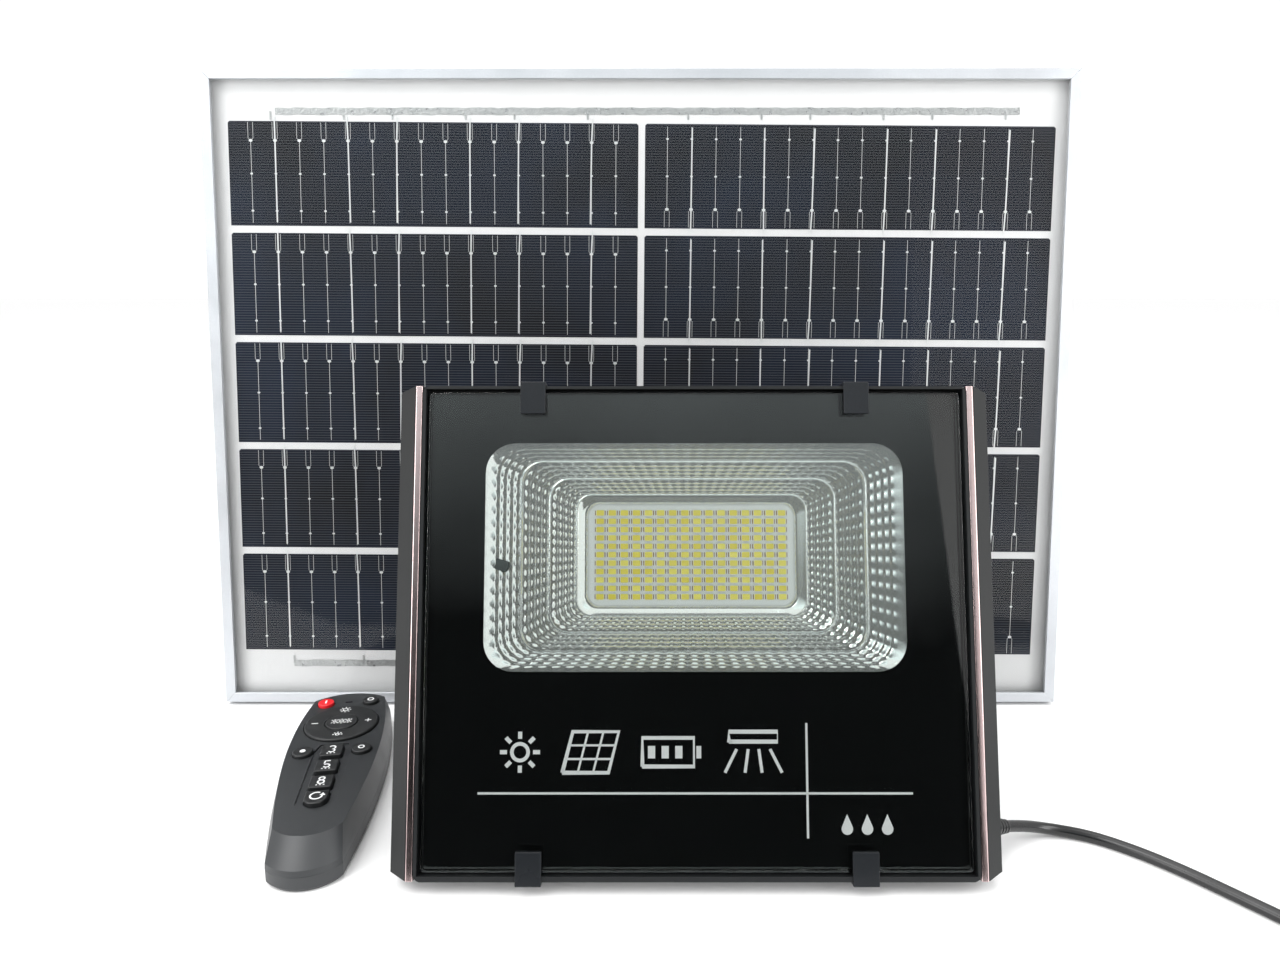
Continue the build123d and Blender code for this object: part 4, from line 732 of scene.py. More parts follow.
@dataclass
class Workshop:
    """Makes pieces and puts them on their bodies."""

    made: list[Object] = field(default_factory=list)

    def finish_piece(
        self,
        obj: Object,
        body: str,
        finishes: Sequence[Finish],
        slot: Optional[str] = None,
        replaces: Sequence[str] = (),
    ) -> Object:
        """Dress a placed object, put it on its body and log it.

        Args:
            obj: Object in its place.
            body: CAD body that it rides on.
            finishes: One for each of its material slots.
            slot: The record's material slot.
            replaces: CAD nodes that it stands for.

        Returns:
            The same object.
        """
        for finish in finishes:
            obj.data.materials.append(finish.material())
        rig.ride(obj, body)
        if replaces:
            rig.replaces(obj, *replaces)
        if slot:
            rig.slot(obj, slot)
        self.made.append(obj)
        log.info("made %s on body %s", obj.name, body)
        return obj

    def piece(
        self,
        name: str,
        bm: BMesh,
        place: Matrix,
        body: str,
        finishes: Sequence[Finish],
        slot: Optional[str] = None,
        replaces: Sequence[str] = (),
        bevel_mm: float = 0.0,
        sharp_angle: float = 35.0,
    ) -> Object:
        """Make an object from a mesh in an article's own frame.

        Args:
            name: The piece's name.
            bm: Its mesh, which is freed.
            place: Move from its own frame to the row frame.
            body: CAD body that it rides on.
            finishes: One for each material slot.
            slot: The record's material slot.
            replaces: CAD nodes that it stands for.
            bevel_mm: Width of the rounding on its sharp edges.
            sharp_angle: Edges sharper than this, in degrees, stay sharp.

        Returns:
            The new object.
        """
        bmesh.ops.recalc_face_normals(bm, faces=bm.faces)
        smooth_by_angle(bm, sharp_angle)
        obj = mesh_object(name, bm)
        obj.matrix_world = place
        if bevel_mm:
            self.round_edges(obj, bevel_mm, sharp_angle)
        return self.finish_piece(obj, body, finishes, slot, replaces)

    @staticmethod
    def round_edges(obj: Object, width_mm: float, sharp_angle: float) -> None:
        """Round the sharp edges of an object a little, as moulds and presses leave them."""
        bevel = obj.modifiers.new("rounded_edges", "BEVEL")
        bevel.width = width_mm * MM
        bevel.segments = 2
        bevel.limit_method = "ANGLE"
        bevel.angle_limit = math.radians(sharp_angle)
        bevel.harden_normals = True

    def soften(
        self,
        node: str,
        finish: Finish,
        body: str,
        bevel_mm: float,
        slot: Optional[str] = None,
        sharp_angle: float = 35.0,
    ) -> None:
        """Stand a piece with rounded edges in for a CAD node of the same shape.

        Args:
            node: CAD node that it copies and replaces.
            finish: Its finish.
            body: CAD body that it rides on.
            bevel_mm: Width of the rounding.
            slot: The record's material slot.
            sharp_angle: Edges sharper than this, in degrees, are rounded.
        """
        weld_mm, flat_angle = 0.002, 0.6
        source = frame["nodes"][node].data
        mesh = bpy.data.meshes.new(node + "_shape")
        mesh.from_pydata([v.co for v in source.vertices], [], [list(p.vertices) for p in source.polygons])
        bm = bmesh.new()
        bm.from_mesh(mesh)
        bpy.data.meshes.remove(mesh)
        bmesh.ops.remove_doubles(bm, verts=bm.verts, dist=weld_mm * MM)
        bmesh.ops.dissolve_limit(bm, angle_limit=math.radians(flat_angle), verts=bm.verts, edges=bm.edges)
        name, place = node + "_finished", Matrix.Identity(4)
        self.piece(name, bm, place, body, (finish,), slot, (node,), bevel_mm, sharp_angle)

    @staticmethod
    def dress(node: str, finish: Finish) -> None:
        """Give a CAD node that stays a better material."""
        for holder in frame["nodes"][node].material_slots:
            holder.material = finish.material()
        log.info("dressed %s in %s", node, finish.name)


# ---------------------------------------------------------------- studio
@dataclass(frozen=True)
class Softbox:
    """A square soft light: its place, its side in metres, its power in watts and what it faces."""

    name: str
    place: Point3
    size: float
    power: float
    aim: Point3

    def hang(self) -> None:
        """Hang the light."""
        data = bpy.data.lights.new(self.name, "AREA")
        data.shape, data.size, data.energy = "SQUARE", self.size, self.power
        light = in_scene(self.name, data)
        light.location = self.place
        light.rotation_euler = (Vector(self.aim) - Vector(self.place)).to_track_quat("-Z", "Y").to_euler()


@dataclass
class Studio:
    """Pale floor, soft lights, dark cloths and the camera, in metres."""

    camera_place: Point3 = (0.0, -0.3898, 0.1993)
    camera_pitch: float = 11.03
    lens_mm: float = 25.76
    sensor_mm: float = 36.0
    lens_drop: float = 0.0252
    clip: Point2 = (0.01, 50.0)
    floor_half: float = 6.0
    sky_strength: float = 1.08
    softboxes: tuple[Softbox, ...] = (
        Softbox("key_softbox", (-0.75, -0.75, 1.35), 0.9, 16.0, (0.0, 0.0, 0.1)),
        Softbox("fill_softbox", (1.1, -0.5, 1.0), 0.7, 7.0, (0.05, 0.0, 0.08)),
        Softbox("top_softbox", (0.0, 0.25, 1.5), 1.2, 10.0, (0.0, 0.0, 0.0)),
        # the low boxes shine along the facets of the reflector
        Softbox("left_low_softbox", (-1.0, -0.75, 0.3), 0.55, 5.0, (0.0, 0.0, 0.08)),
        Softbox("right_low_softbox", (1.0, -0.75, 0.3), 0.55, 5.0, (0.0, 0.0, 0.08)),
    )
    # the hung cloth's sides, top and distance, and the laid cloth's height and near edge
    cloth_sides: Point2 = (-1.1, 0.5)
    cloth_top: float = 0.95
    cloth_away: float = -1.25
    cloth_pale_from: float = 0.5
    laid_height: float = 0.001
    laid_near: float = -0.17
    laid_sides: Point2 = (-0.2, 0.17)

    def build(self) -> None:
        """Make the camera first, and then the floor and the lights."""
        self.make_camera()
        self.make_floor()
        self.make_world()
        self.make_flags()
        for softbox in self.softboxes:
            softbox.hang()

    def make_camera(self) -> None:
        """Make the camera, level across and looking a little down."""
        data = bpy.data.cameras.new("camera")
        data.lens, data.sensor_width = self.lens_mm, self.sensor_mm
        data.shift_y = -self.lens_drop
        data.clip_start, data.clip_end = self.clip
        camera = in_scene("camera", data)
        camera.location = self.camera_place
        camera.rotation_euler = (math.radians(90 - self.camera_pitch), 0.0, 0.0)
        bpy.context.scene.camera = camera
        bpy.context.view_layer.update()
        log.info("camera at %s", tuple(camera.location))

    def make_floor(self) -> None:
        """Make a pale floor that runs far behind the object."""
        bm = bmesh.new()
        bmesh.ops.create_grid(bm, x_segments=8, y_segments=8, size=self.floor_half)
        floor = mesh_object("floor", bm)
        floor.data.materials.append(PALE_FLOOR.material())
        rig.stage(floor)

    def make_world(self) -> None:
        """Light the whole scene softly from all round."""
        world = bpy.data.worlds.new("studio")
        world.use_nodes = True
        tree = world.node_tree
        tree.nodes.clear()
        glow = {"Color": linear("#ffffff"), "Strength": self.sky_strength}
        sky = add_node(tree, "ShaderNodeBackground", glow)
        add_node(tree, "ShaderNodeOutputWorld", {"Surface": sky.outputs[0]})
        bpy.context.scene.world = world
        bpy.context.scene.view_settings.view_transform = "Standard"

    def make_flags(self) -> None:
        """Hang a dark cloth in front of the object and lay one before it; both only show in its gloss."""
        (left, right), (laid_left, laid_right) = self.cloth_sides, self.laid_sides
        away, top, low, near = self.cloth_away, self.cloth_top, self.laid_height, self.laid_near
        cloth = self.cloth()
        hung = [(left, away, 0.0), (right, away, 0.0), (right, away, top), (left, away, top)]
        self.make_card("hung_cloth", hung, cloth)
        laid = [(left, away, low), (right, away, low), (laid_right, near, low), (laid_left, near, low)]
        self.make_card("laid_cloth", laid, cloth)

    def cloth(self) -> Material:
        """Make the cloth's material: dark folds, paler towards the hung cloth's top."""
        folds_per_metre, fold_lift, glow = 2.2, 0.35, (0.03, 1.5)
        cloth = blank_material("dark_studio_cloth")
        tree = cloth.node_tree
        place = object_place(tree)
        height = add_node(tree, "ShaderNodeSeparateXYZ", {0: place}).outputs["Z"]
        folds = clouds(tree, place, 1 / (folds_per_metre * MM), 3.0)
        lift = maths(tree, "MULTIPLY_ADD", folds, fold_lift, height)
        strength = ranged(tree, lift, (self.cloth_pale_from, self.cloth_top), glow)
        shine = add_node(tree, "ShaderNodeEmission", {"Color": linear("#dfe8ea"), "Strength": strength})
        add_node(tree, "ShaderNodeOutputMaterial", {"Surface": shine.outputs[0]})
        return cloth

    @staticmethod
    def make_card(name: str, corners: list[Point3], cloth: Material) -> None:
        """Make one flat card, in metres, that only glossy rays meet."""
        bm = bmesh.new()
        bm.faces.new([bm.verts.new(corner) for corner in corners])
        card = mesh_object(name, bm)
        card.data.materials.append(cloth)
        card.visible_camera = card.visible_diffuse = False
        card.visible_shadow = card.visible_transmission = False
        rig.stage(card)


# ---------------------------------------------------------------- lead
@dataclass
class Lead:
    """The lamp's lead: strain relief, cable with its stored coil, tie and connector.

    The sizes are in millimetres and the angles in degrees.
    """

    shop: Workshop
    diameter: float = 4.0
    straight: float = 8.0
    way_out: Point3 = (0.8575, 0.4465, -0.2557)
    # corners after the straight start: X and Y from the strain relief's mouth, Z above the floor
    corners: tuple[Point3, ...] = (
        (18.0, 7.4, 2.8),
        (32.0, 4.1, 2.0),
        (44.0, -4.9, 2.0),
        (54.6, -16.0, 2.0),
        (64.2, -28.4, 2.0),
        (74.0, -41.0, 2.0),
        (83.6, -53.6, 2.0),
    )
    relief_root: float = 3.3
    relief_tip: float = 2.3
    relief_length: float = 8.0
    coil_radius: float = 22.0
    half_step: float = 2.05
    upper_layer: float = 6.0
    entry_angle: float = 217.0
    turns: float = 2.4
    # turn at which the cable steps to another winding, and over how much of a turn
    inward_step: Point2 = (0.82, 0.2)
    upward_step: Point2 = (1.62, 0.22)
    outward_step: Point2 = (1.9, 0.3)
    points_per_turn: int = 18
    tail: float = 14.0
    connector_height: float = 6.5

    def mouth(self) -> Vector:
        """Give the middle of the strain relief's narrow end."""
        low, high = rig.box("strain_relief")
        across = [self.relief_tip * MM * math.sqrt(1 - part**2) for part in self.way_out]
        return Vector((high.x - across[0], high.y - across[1], low.z + across[2]))

    def coil_middle(self) -> Vector:
        """Give the middle of the coil, on the floor."""
        mouth, last = self.mouth(), self.corners[-1]
        angle = math.radians(self.entry_angle)
        x = mouth.x + (last[0] - self.coil_radius * math.cos(angle)) * MM
        y = mouth.y + (last[1] - self.coil_radius * math.sin(angle)) * MM
        return Vector((x, y, 0.0))

    def winding(self, share: float) -> tuple[float, float]:
        """Give the coil's radius and height at a share of its turns: outer, inner, then on top."""
        turned = share * self.turns
        inward, upward, outward = (
            min(max((turned - start) / over, 0.0), 1.0)
            for start, over in (self.inward_step, self.upward_step, self.outward_step)
        )
        radius = self.coil_radius + self.half_step * (1 - 2 * inward + outward)
        return radius, self.diameter / 2 + (self.upper_layer - self.diameter / 2) * upward

    def route(self) -> list[Vector]:
        """Give the cable's control points, from the strain relief to the connector."""
        mouth, middle = self.mouth(), self.coil_middle()
        points = [mouth, mouth + Vector(self.way_out) * self.straight * MM]
        points += [Vector((mouth.x + x * MM, mouth.y + y * MM, z * MM)) for x, y, z in self.corners[:-1]]
        count = round(self.turns * self.points_per_turn)
        for step in range(count + 1):
            radius, height = self.winding(step / count)
            angle = math.radians(self.entry_angle + 360 * self.turns * step / count)
            around = Vector((math.cos(angle), math.sin(angle), 0.0)) * radius
            points.append(middle + (around + Vector((0.0, 0.0, height))) * MM)
        end = self.connector_place()
        points.append(end - Vector((0.0, self.tail * 0.4, 0.0)) * MM)
        points.append(end)
        return points

    def connector_place(self) -> Vector:
        """Give the middle of the connector's rear end, where the cable goes in."""
        low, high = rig.box("connector")
        return Vector(((low.x + high.x) / 2, low.y, self.connector_height * MM))

    def build(self) -> None:
        """Make the cable and the pieces on it."""
        relief = self.make_relief()
        tie = self.make_tie()
        connector = self.make_connector()
        self.shop.soften("connector_collar", HOLDER_PLASTIC, "collar", 0.25, "connector_plastic")
        cable = self.make_cable()
        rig.cord(
            cable,
            exit=self.mouth(),
            length=self.cable_length(cable),
            diameter=self.diameter * MM,
            far_end="connector",
            stiffness="medium",
            lay="coiled",
            with_pieces=[relief, tie, connector, "connector_collar_finished"],
        )

    def make_cable(self) -> Object:
        """Make the cable as one smooth curve along the route."""
        curve = bpy.data.curves.new("lead_cable", "CURVE")
        curve.dimensions = "3D"
        curve.bevel_depth = self.diameter / 2 * MM
        curve.bevel_resolution = 6
        curve.resolution_u = 8
        curve.use_fill_caps = True
        points = self.route()
        spline = curve.splines.new("NURBS")
        spline.points.add(len(points) - 1)
        for knot, point in zip(spline.points, points):
            knot.co = (*point, 1.0)
        spline.order_u = 3
        spline.use_endpoint_u = True
        cable = in_scene("lead_cable", curve)
        return self.shop.finish_piece(
            cable, "lamp", (CABLE_PVC,), "lead_rubber", ("cord_tube", "cord_coil")
        )

    @staticmethod
    def cable_length(cable: Object) -> float:
        """Measure the cable's centreline, in metres."""
        plain = cable.copy()
        plain.data = cable.data.copy()
        plain.data.bevel_depth = 0.0
        line = bpy.data.meshes.new_from_object(plain)
        spots = [v.co for v in line.vertices]
        length = sum((after - before).length for before, after in zip(spots, spots[1:]))
        bpy.data.objects.remove(plain)
        bpy.data.meshes.remove(line)
        return length

    def along_way_out(self, start: Vector) -> Matrix:
        """Give the place of a turned piece whose Y axis runs out of the lamp with the lead."""
        turn = Vector((0.0, 1.0, 0.0)).rotation_difference(Vector(self.way_out))
        return Matrix.Translation(start) @ turn.to_matrix().to_4x4()

    def make_relief(self) -> Object:
        """Make the tapered strain relief, with flexing grooves round it."""
        bore = self.diameter / 2
        profile = [(bore, 0.0), (self.relief_root, 0.0)]
        grooves, first = 4, 0.6
        groove_shape = ((0.0, 0.0), (0.35, 0.2), (0.4, 0.55), (0.1, 0.75))
        pitch = self.relief_length / (grooves + first)
        for groove in range(grooves):
            near = pitch * (groove + first)
            outer = self.relief_root + (self.relief_tip - self.relief_root) * near / self.relief_length
            profile += [(outer - sink, near + step) for sink, step in groove_shape]
        profile += [(self.relief_tip, self.relief_length), (bore, self.relief_length)]
        bm = bmesh.new()
        lathe(bm, profile, 36)
        start = self.mouth() - Vector(self.way_out) * self.relief_length * MM
        place = self.along_way_out(start)
        return self.shop.piece(
            "lead_relief", bm, place, "lamp", (CABLE_PVC,), "lead_rubber", ("strain_relief",), 0.1, 50
        )

    def make_tie(self) -> Object:
        """Make the tie that holds the coil's turns together, as a plain rounded loop."""
        low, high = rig.box("cord_tie")
        width, height = (high.x - low.x) / MM, (high.z - low.z) / MM
        depth = (high.y - low.y) / MM
        wall, outer_corner, inner_corner = 0.8, 2.2, 1.5
        bm = bmesh.new()
        outer = rounded_rectangle(width, height, outer_corner, (0.0, height / 2))
        inner = rounded_rectangle(width - 2 * wall, height - 2 * wall, inner_corner, (0.0, height / 2))
        rim(bm, outer, inner, -depth / 2, depth / 2, Facing.FRONT)
        middle = Vector(((low.x + high.x) / 2, (low.y + high.y) / 2, low.z))
        return self.shop.piece(
            "lead_tie",
            bm,
            Matrix.Translation(middle),
            "lamp",
            (GLAND_NYLON,),
            "tie_plastic",
            ("cord_tie",),
            0.2,
        )

    def make_connector(self) -> Object:
        """Make the connector: ribbed plastic body, spigot and metal barrel."""
        low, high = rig.box("connector")
        total = (high.y - low.y) / MM
        body, spigot = 16.0, 6.0
        rib_shape = ((0.0, 0.0), (0.0, 1.0), (0.45, 1.1), (0.4, 1.8))
        bm = bmesh.new()
        profile = [(0.0, 0.0), (3.2, 0.0), (3.4, 1.0)]
        ribs = 5
        for rib in range(ribs):
            near = 4.0 + 2.0 * rib
            radius = 3.2 + 2.6 * near / body
            profile += [(radius - sink, near + step) for sink, step in rib_shape]
        profile += [(5.8, body - 1.5), (5.8, body), (4.5, body), (4.5, body + spigot), (0.0, body + spigot)]
        lathe(bm, profile, 40, 0)
        bore, outside, rounding = 1.05, 2.75, 0.2
        start = body + spigot
        tip = [(outside, total - rounding), (outside - rounding, total)]
        barrel = [(bore, start), (outside, start), *tip, (bore, total)]
        lathe(bm, barrel, 32, 1)
        bmesh.ops.remove_doubles(bm, verts=bm.verts, dist=0.001 * MM)
        return self.shop.piece(
            "lead_connector",
            bm,
            Matrix.Translation(self.connector_place()),
            "lamp",
            (HOLDER_PLASTIC, ZINC_STEEL),
            "connector_plastic",
            ("connector",),
            0.0,
            30,
        )


# ---------------------------------------------------------------- lamp
@dataclass(frozen=True)
class Tier:
    """One outline of the reflector: its depth, width, height and corner radius, in millimetres."""

    depth: float
    width: float
    height: float
    corner: float


@dataclass(frozen=True)
class Wall:
    """How one sloping wall of the reflector is made up, as shares of its width.

    Attributes:
        near: The tier at its front edge.
        far: The tier at its back edge.
        facets_from: Where the rows of facets start.
        facets_to: Where they end.
        rows: Rows of facets; none on a plain wall.
        bead: Height of the smooth bead along its far edge, in millimetres.
    """

    near: Tier
    far: Tier
    facets_from: float = 0.0
    facets_to: float = 0.0
    rows: int = 0
    bead: float = 0.5


@dataclass
class Reflector:
    """Metallised reflector whose walls are rows of small pillow facets."""

    middle: float = 104.2
    facet_length: float = 4.0
    facet_rise: float = 0.42
    steps: int = 5
    corner_facets: int = 4
    thickness: float = 0.8

    def walls(self) -> list[Wall]:
        """Give the walls, from the window back to the LED board."""
        tiers = (
            Tier(3.95, 142.0, 77.0, 10.0),
            Tier(10.0, 117.9, 64.6, 8.0),
            Tier(17.0, 99.3, 53.2, 7.0),
            Tier(23.0, 81.4, 42.5, 5.5),
            Tier(25.9, 73.8, 36.2, 4.5),
        )
        return [
            Wall(tiers[0], tiers[1], 0.22, 0.93, 4, 0.5),
            Wall(tiers[1], tiers[2], 0.08, 0.92, 4, 0.5),
            Wall(tiers[2], tiers[3], 0.08, 0.92, 4, 0.45),
            Wall(tiers[3], tiers[4], bead=0.9),
        ]

    def stations(self) -> list[tuple[int, bool, float, float]]:
        """Give the places round the outline: quarter, on a corner, share along it and facet phase."""
        outline = self.walls()[1].near
        found = []
        for quarter in range(4):
            across = outline.height if quarter % 2 == 0 else outline.width
            length = across - 2 * outline.corner
            straight_facets = round(length / self.facet_length)
            for on_corner, facets in ((False, straight_facets), (True, self.corner_facets)):
                total = facets * self.steps
                for step in range(total):
                    found.append((quarter, on_corner, step / total, (step % self.steps) / self.steps))
        return found

    def spot(self, tier: Tier, quarter: int, on_corner: bool, share: float) -> Vector:
        """Give a point of a tier's outline, in millimetres, anticlockwise from the right side."""
        half_w, half_h, r = tier.width / 2, tier.height / 2, tier.corner
        turn = quarter * math.pi / 2
        reach, side = (half_w, half_h) if quarter % 2 == 0 else (half_h, half_w)
        if on_corner:
            angle = share * math.pi / 2
            along, out = side - r + r * math.sin(angle), reach - r + r * math.cos(angle)
        else:
            along, out = (side - r) * (2 * share - 1), reach
        x = out * math.cos(turn) - along * math.sin(turn)
        z = out * math.sin(turn) + along * math.cos(turn)
        return Vector((x, tier.depth, z + self.middle))

    def cross_steps(self, wall: Wall) -> list[tuple[float, float, float]]:
        """Give the steps across a wall: share, facet phase and smooth lift."""
        found = [(0.0, 0.0, 0.0)]
        if wall.rows:
            total = wall.rows * self.steps
            for step in range(total + 1):
                share = wall.facets_from + (wall.facets_to - wall.facets_from) * step / total
                found.append((share, (step % self.steps) / self.steps, 0.0))
        start = wall.facets_to if wall.rows else 0.25
        bead_steps = 6
        for step in range(1, bead_steps + 1):
            share = step / bead_steps
            found.append((start + (1 - start) * share, 0.0, wall.bead * math.sin(math.pi * share)))
        return found

    def add_wall(self, bm: BMesh, wall: Wall) -> None:
        """Add one wall, with its facets raised along its own normal."""
        stations = self.stations()
        rows = []
        for share, phase, lift in self.cross_steps(wall):
            row = []
            for quarter, on_corner, place, along_phase in stations:
                near = self.spot(wall.near, quarter, on_corner, place)
                far = self.spot(wall.far, quarter, on_corner, place)
                base = near.lerp(far, share)
                inward = (far - near).normalized()
                side = (
                    self.spot(wall.near, quarter, on_corner, place + 0.01)
                    - self.spot(wall.near, quarter, on_corner, place - 0.01)
                ).normalized()
                normal = side.cross(inward).normalized()
                if normal.y > 0:
                    normal = -normal
                pillow = math.sin(math.pi * phase) * math.sin(math.pi * along_phase)
                row.append(bm.verts.new((base + normal * (self.facet_rise * pillow + lift)) * MM))
            rows.append(row)
        for here, there in zip(rows, rows[1:]):
            for i in range(len(here)):
                after = (i + 1) % len(here)
                bm.faces.new((here[i], here[after], there[after], there[i]))

    def build(self, shop: Workshop, place: Matrix) -> None:
        """Make the reflector as one thin moulding."""
        bm = bmesh.new()
        for wall in self.walls():
            self.add_wall(bm, wall)
        front = self.walls()[0].near
        outer = rounded_rectangle(front.width + 10, front.height + 10, front.corner + 5, (0, self.middle))
        inner = rounded_rectangle(front.width, front.height, front.corner, (0, self.middle))
        rim(bm, outer, inner, front.depth, front.depth + 1.1, Facing.FRONT)
        bmesh.ops.remove_doubles(bm, verts=bm.verts, dist=0.01 * MM)
        finishes, replaced, sharp_angle = (METALLISED,), ("reflector",), 50.0
        shop.piece(
            "faceted_reflector", bm, place, "lamp", finishes, "reflector_silver", replaced, 0.0, sharp_angle
        )


@dataclass
class Lamp:
    """The flood lamp, in millimetres in its own frame."""

    shop: Workshop
    lean: float = 16.3
    tray_depth: float = 14.0
    glass_width: float = 179.3
    glass_height: float = 156.8
    glass_base: float = 2.7
    glass_front: float = 0.6
    glass_back: float = 3.8
    window_width: float = 142.0
    window_height: float = 77.0
    window_corner: float = 10.0
    window_middle: float = 104.2
    print_base: float = 33.4
    print_top: float = 46.6
    led_face: float = 26.0
    led_columns: int = 16
    led_rows: int = 11
    led_pitch: Point2 = (4.37, 3.0)
    led_size: Point2 = (3.5, 2.6)
    phosphor_size: Point2 = (2.75, 2.0)
    receiver: Point3 = (-67.6, 7.6, 101.9)
    receiver_tilt: float = -17.0

    def stand(self) -> Stand:
        """Give the lamp's place, from its housing's box."""
        low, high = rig.box("lamp_housing")
        lean = math.radians(self.lean)
        base = low.z + self.tray_depth * MM * math.sin(lean)
        return Stand(Vector(((low.x + high.x) / 2, low.y, base)), lean)

    def build(self) -> None:
        """Make every piece of the lamp."""
        place = self.stand().matrix
        self.make_glass(place)
        self.make_print(place)
        Reflector(middle=self.window_middle).build(self.shop, place)
        self.make_leds(place)
        self.make_receiver(place)
        self.dress_shell()
        self.dress_inside()

    def make_glass(self, place: Matrix) -> None:
        """Make the front glass and the black enamel fired on its back, which leaves the window clear."""
        glass_corner, border_corner = 1.5, 1.2
        back_gap, window_overlap, border_margin = 0.1, 0.6, 0.8
        enamel_near, enamel_far = self.glass_back - 0.08, self.glass_back - 0.02
        middle = (0.0, self.glass_base + self.glass_height / 2)
        bm = bmesh.new()
        pane = rounded_rectangle(self.glass_width, self.glass_height, glass_corner, middle, 5)
        slab(bm, pane, self.glass_front, self.glass_back - back_gap, Facing.FRONT)
        self.shop.piece("lamp_glass", bm, place, "lamp", (GLASS,), "toughened_glass", ("front_glass",), 0.4)
        bm = bmesh.new()
        width, height = self.window_width - window_overlap, self.window_height - window_overlap
        window = rounded_rectangle(width, height, self.window_corner, (0.0, self.window_middle), 8)
        width, height = self.glass_width - border_margin, self.glass_height - border_margin
        border = rounded_rectangle(width, height, border_corner, middle, 8)
        rim(bm, border, window, enamel_near, enamel_far, Facing.FRONT)
        self.shop.piece("glass_enamel", bm, place, "lamp", (ENAMEL_BLACK,), "toughened_glass")

    def make_print(self, place: Matrix) -> None:
        """Make the white print under the glass: two crossing lines and plain pictograms."""
        near, far = self.glass_back - 0.16, self.glass_back - 0.1
        bm = bmesh.new()
        rule, fine, beam, line, post, bar = 0.75, 0.7, 1.0, 1.35, 1.6, 2.4
        base, top = self.print_base, self.print_top
        middle = (base + top) / 2

        def draw(points: Outline, width: float = line) -> None:
            """Print a stroke."""
            stroke(bm, points, width, near, far, Facing.FRONT)

        draw([(-71.8, 26.8), (71.3, 26.8)], rule)
        draw([(36.6, 12.5), (36.6, 49.4)], rule)
        # sun
        sun = (-58.0, middle)
        rim(bm, circle(3.3, sun), circle(2.1, sun), near, far, Facing.FRONT)
        for ray in range(8):
            angle = math.tau * ray / 8
            way = Vector((math.cos(angle), math.sin(angle)))
            draw([tuple(Vector(sun) + way * reach) for reach in (4.3, 6.6)])
        # panel with its cells: left foot, how far its top leans and its width
        foot, lean, width = -44.0, 3.4, 15.2
        left, right = [(foot, base), (foot + lean, top)], [(foot + lean + width, top), (foot + width, base)]
        draw([*left, *right, (foot, base), (foot + 0.3, base + 1.2)])
        for share in (1 / 3, 2 / 3):
            x, height = foot + width * share, base + (top - base) * share
            draw([(x, base), (x + lean, top)], fine)
            draw([(foot + lean * share, height), (foot + width + lean * share, height)], fine)
        # battery with its charge
        left, right, low, high = -17.6, -0.6, base + 2, top - 2
        draw([(left, low), (left, high), (right, high), (right, low), (left, low), (left, low + 1)])
        draw([(right + 1.6, middle - 2), (right + 1.6, middle + 2)], post)
        for charge in range(3):
            x = left + 3.0 + 4.5 * charge
            draw([(x, base + 4.6), (x, top - 4.6)], bar)
        # lamp with its beam
        left, right, low = 11.0, 27.0, top - 3.2
        draw([(left, low), (right, low), (right, top), (left, top), (left, low), (left + 1, low)])
        for start, end in ((13.5, 9.6), (17.3, 16.2), (20.8, 21.8), (24.5, 28.4)):
            draw([(start, top - 5.6), (end, base)], beam)
        # three drops of rain, for a lamp that is sealed against water
        for drop in range(3):
            x = 49.5 + 6.6 * drop
            points = arc(1.9, (x, 15.5), 150, 390, 12) + [(x, 20.2)]
            slab(bm, points, near, far, Facing.FRONT)
        self.shop.piece("glass_print", bm, place, "lamp", (ENAMEL_WHITE,), "toughened_glass")

    def make_leds(self, place: Matrix) -> None:
        """Make the LEDs: white packages with a yellow window and a terminal at each side."""
        terminal_room, package_corner, window_corner = 0.3, 0.2, 0.35
        package_depth, window_back, window_sink = 0.7, 0.62, 0.1
        foot_width, foot_height, foot_corner, foot_in, foot_depth = 0.5, 1.7, 0.08, 0.1, 0.3
        bm = bmesh.new()
        face = self.led_face
        half_w, half_h = self.led_size[0] / 2, self.led_size[1] / 2
        for column in range(self.led_columns):
            for row in range(self.led_rows):
                x = (column - (self.led_columns - 1) / 2) * self.led_pitch[0]
                z = self.window_middle + (row - (self.led_rows - 1) / 2) * self.led_pitch[1]
                body = rounded_rectangle(2 * half_w - terminal_room, 2 * half_h, package_corner, (x, z), 2)
                opening = rounded_rectangle(*self.phosphor_size, window_corner, (x, z), 2)
                rim(bm, body, opening, face - package_depth, face, Facing.FRONT, 0)
                slab(bm, opening, face - window_back, face - window_sink, Facing.FRONT, 1)
                for side in (-1, 1):
                    middle = (x + side * (half_w - foot_in), z)
                    foot = rounded_rectangle(foot_width, foot_height, foot_corner, middle, 1)
                    slab(bm, foot, face - foot_depth, face, Facing.FRONT, 2)
        finishes = (LED_PACKAGE, Phosphor("cast_phosphor_silicone", *self.led_pitch), LED_TERMINAL)
        self.shop.piece("led_array", bm, place, "lamp", finishes, "led_package", ("led_chips",))

    def make_receiver(self, place: Matrix) -> None:
        """Make the infrared receiver: a dark stepped stub, glued in at a slant."""
        bm = bmesh.new()
        for width, height, corner, x, front, back in (
            (5.2, 4.0, 0.5, -2.4, -1.6, 3.0),
            (5.0, 3.6, 0.7, 2.5, -2.2, 3.0),
            (1.2, 2.4, 0.3, 4.4, -2.4, 2.0),
        ):
            slab(bm, rounded_rectangle(width, height, corner, (x, 0.0), 3), front, back, Facing.FRONT)
        tilt = Matrix.Rotation(math.radians(-self.receiver_tilt), 4, "Y")
        seat = Matrix.Translation(Vector(self.receiver) * MM)
        self.shop.piece(
            "receiver_stub",
            bm,
            place @ seat @ tilt,
            "lamp",
            (RECEIVER_PLASTIC,),
            "receiver_epoxy",
            ("ir_receiver",),
            0.3,
        )

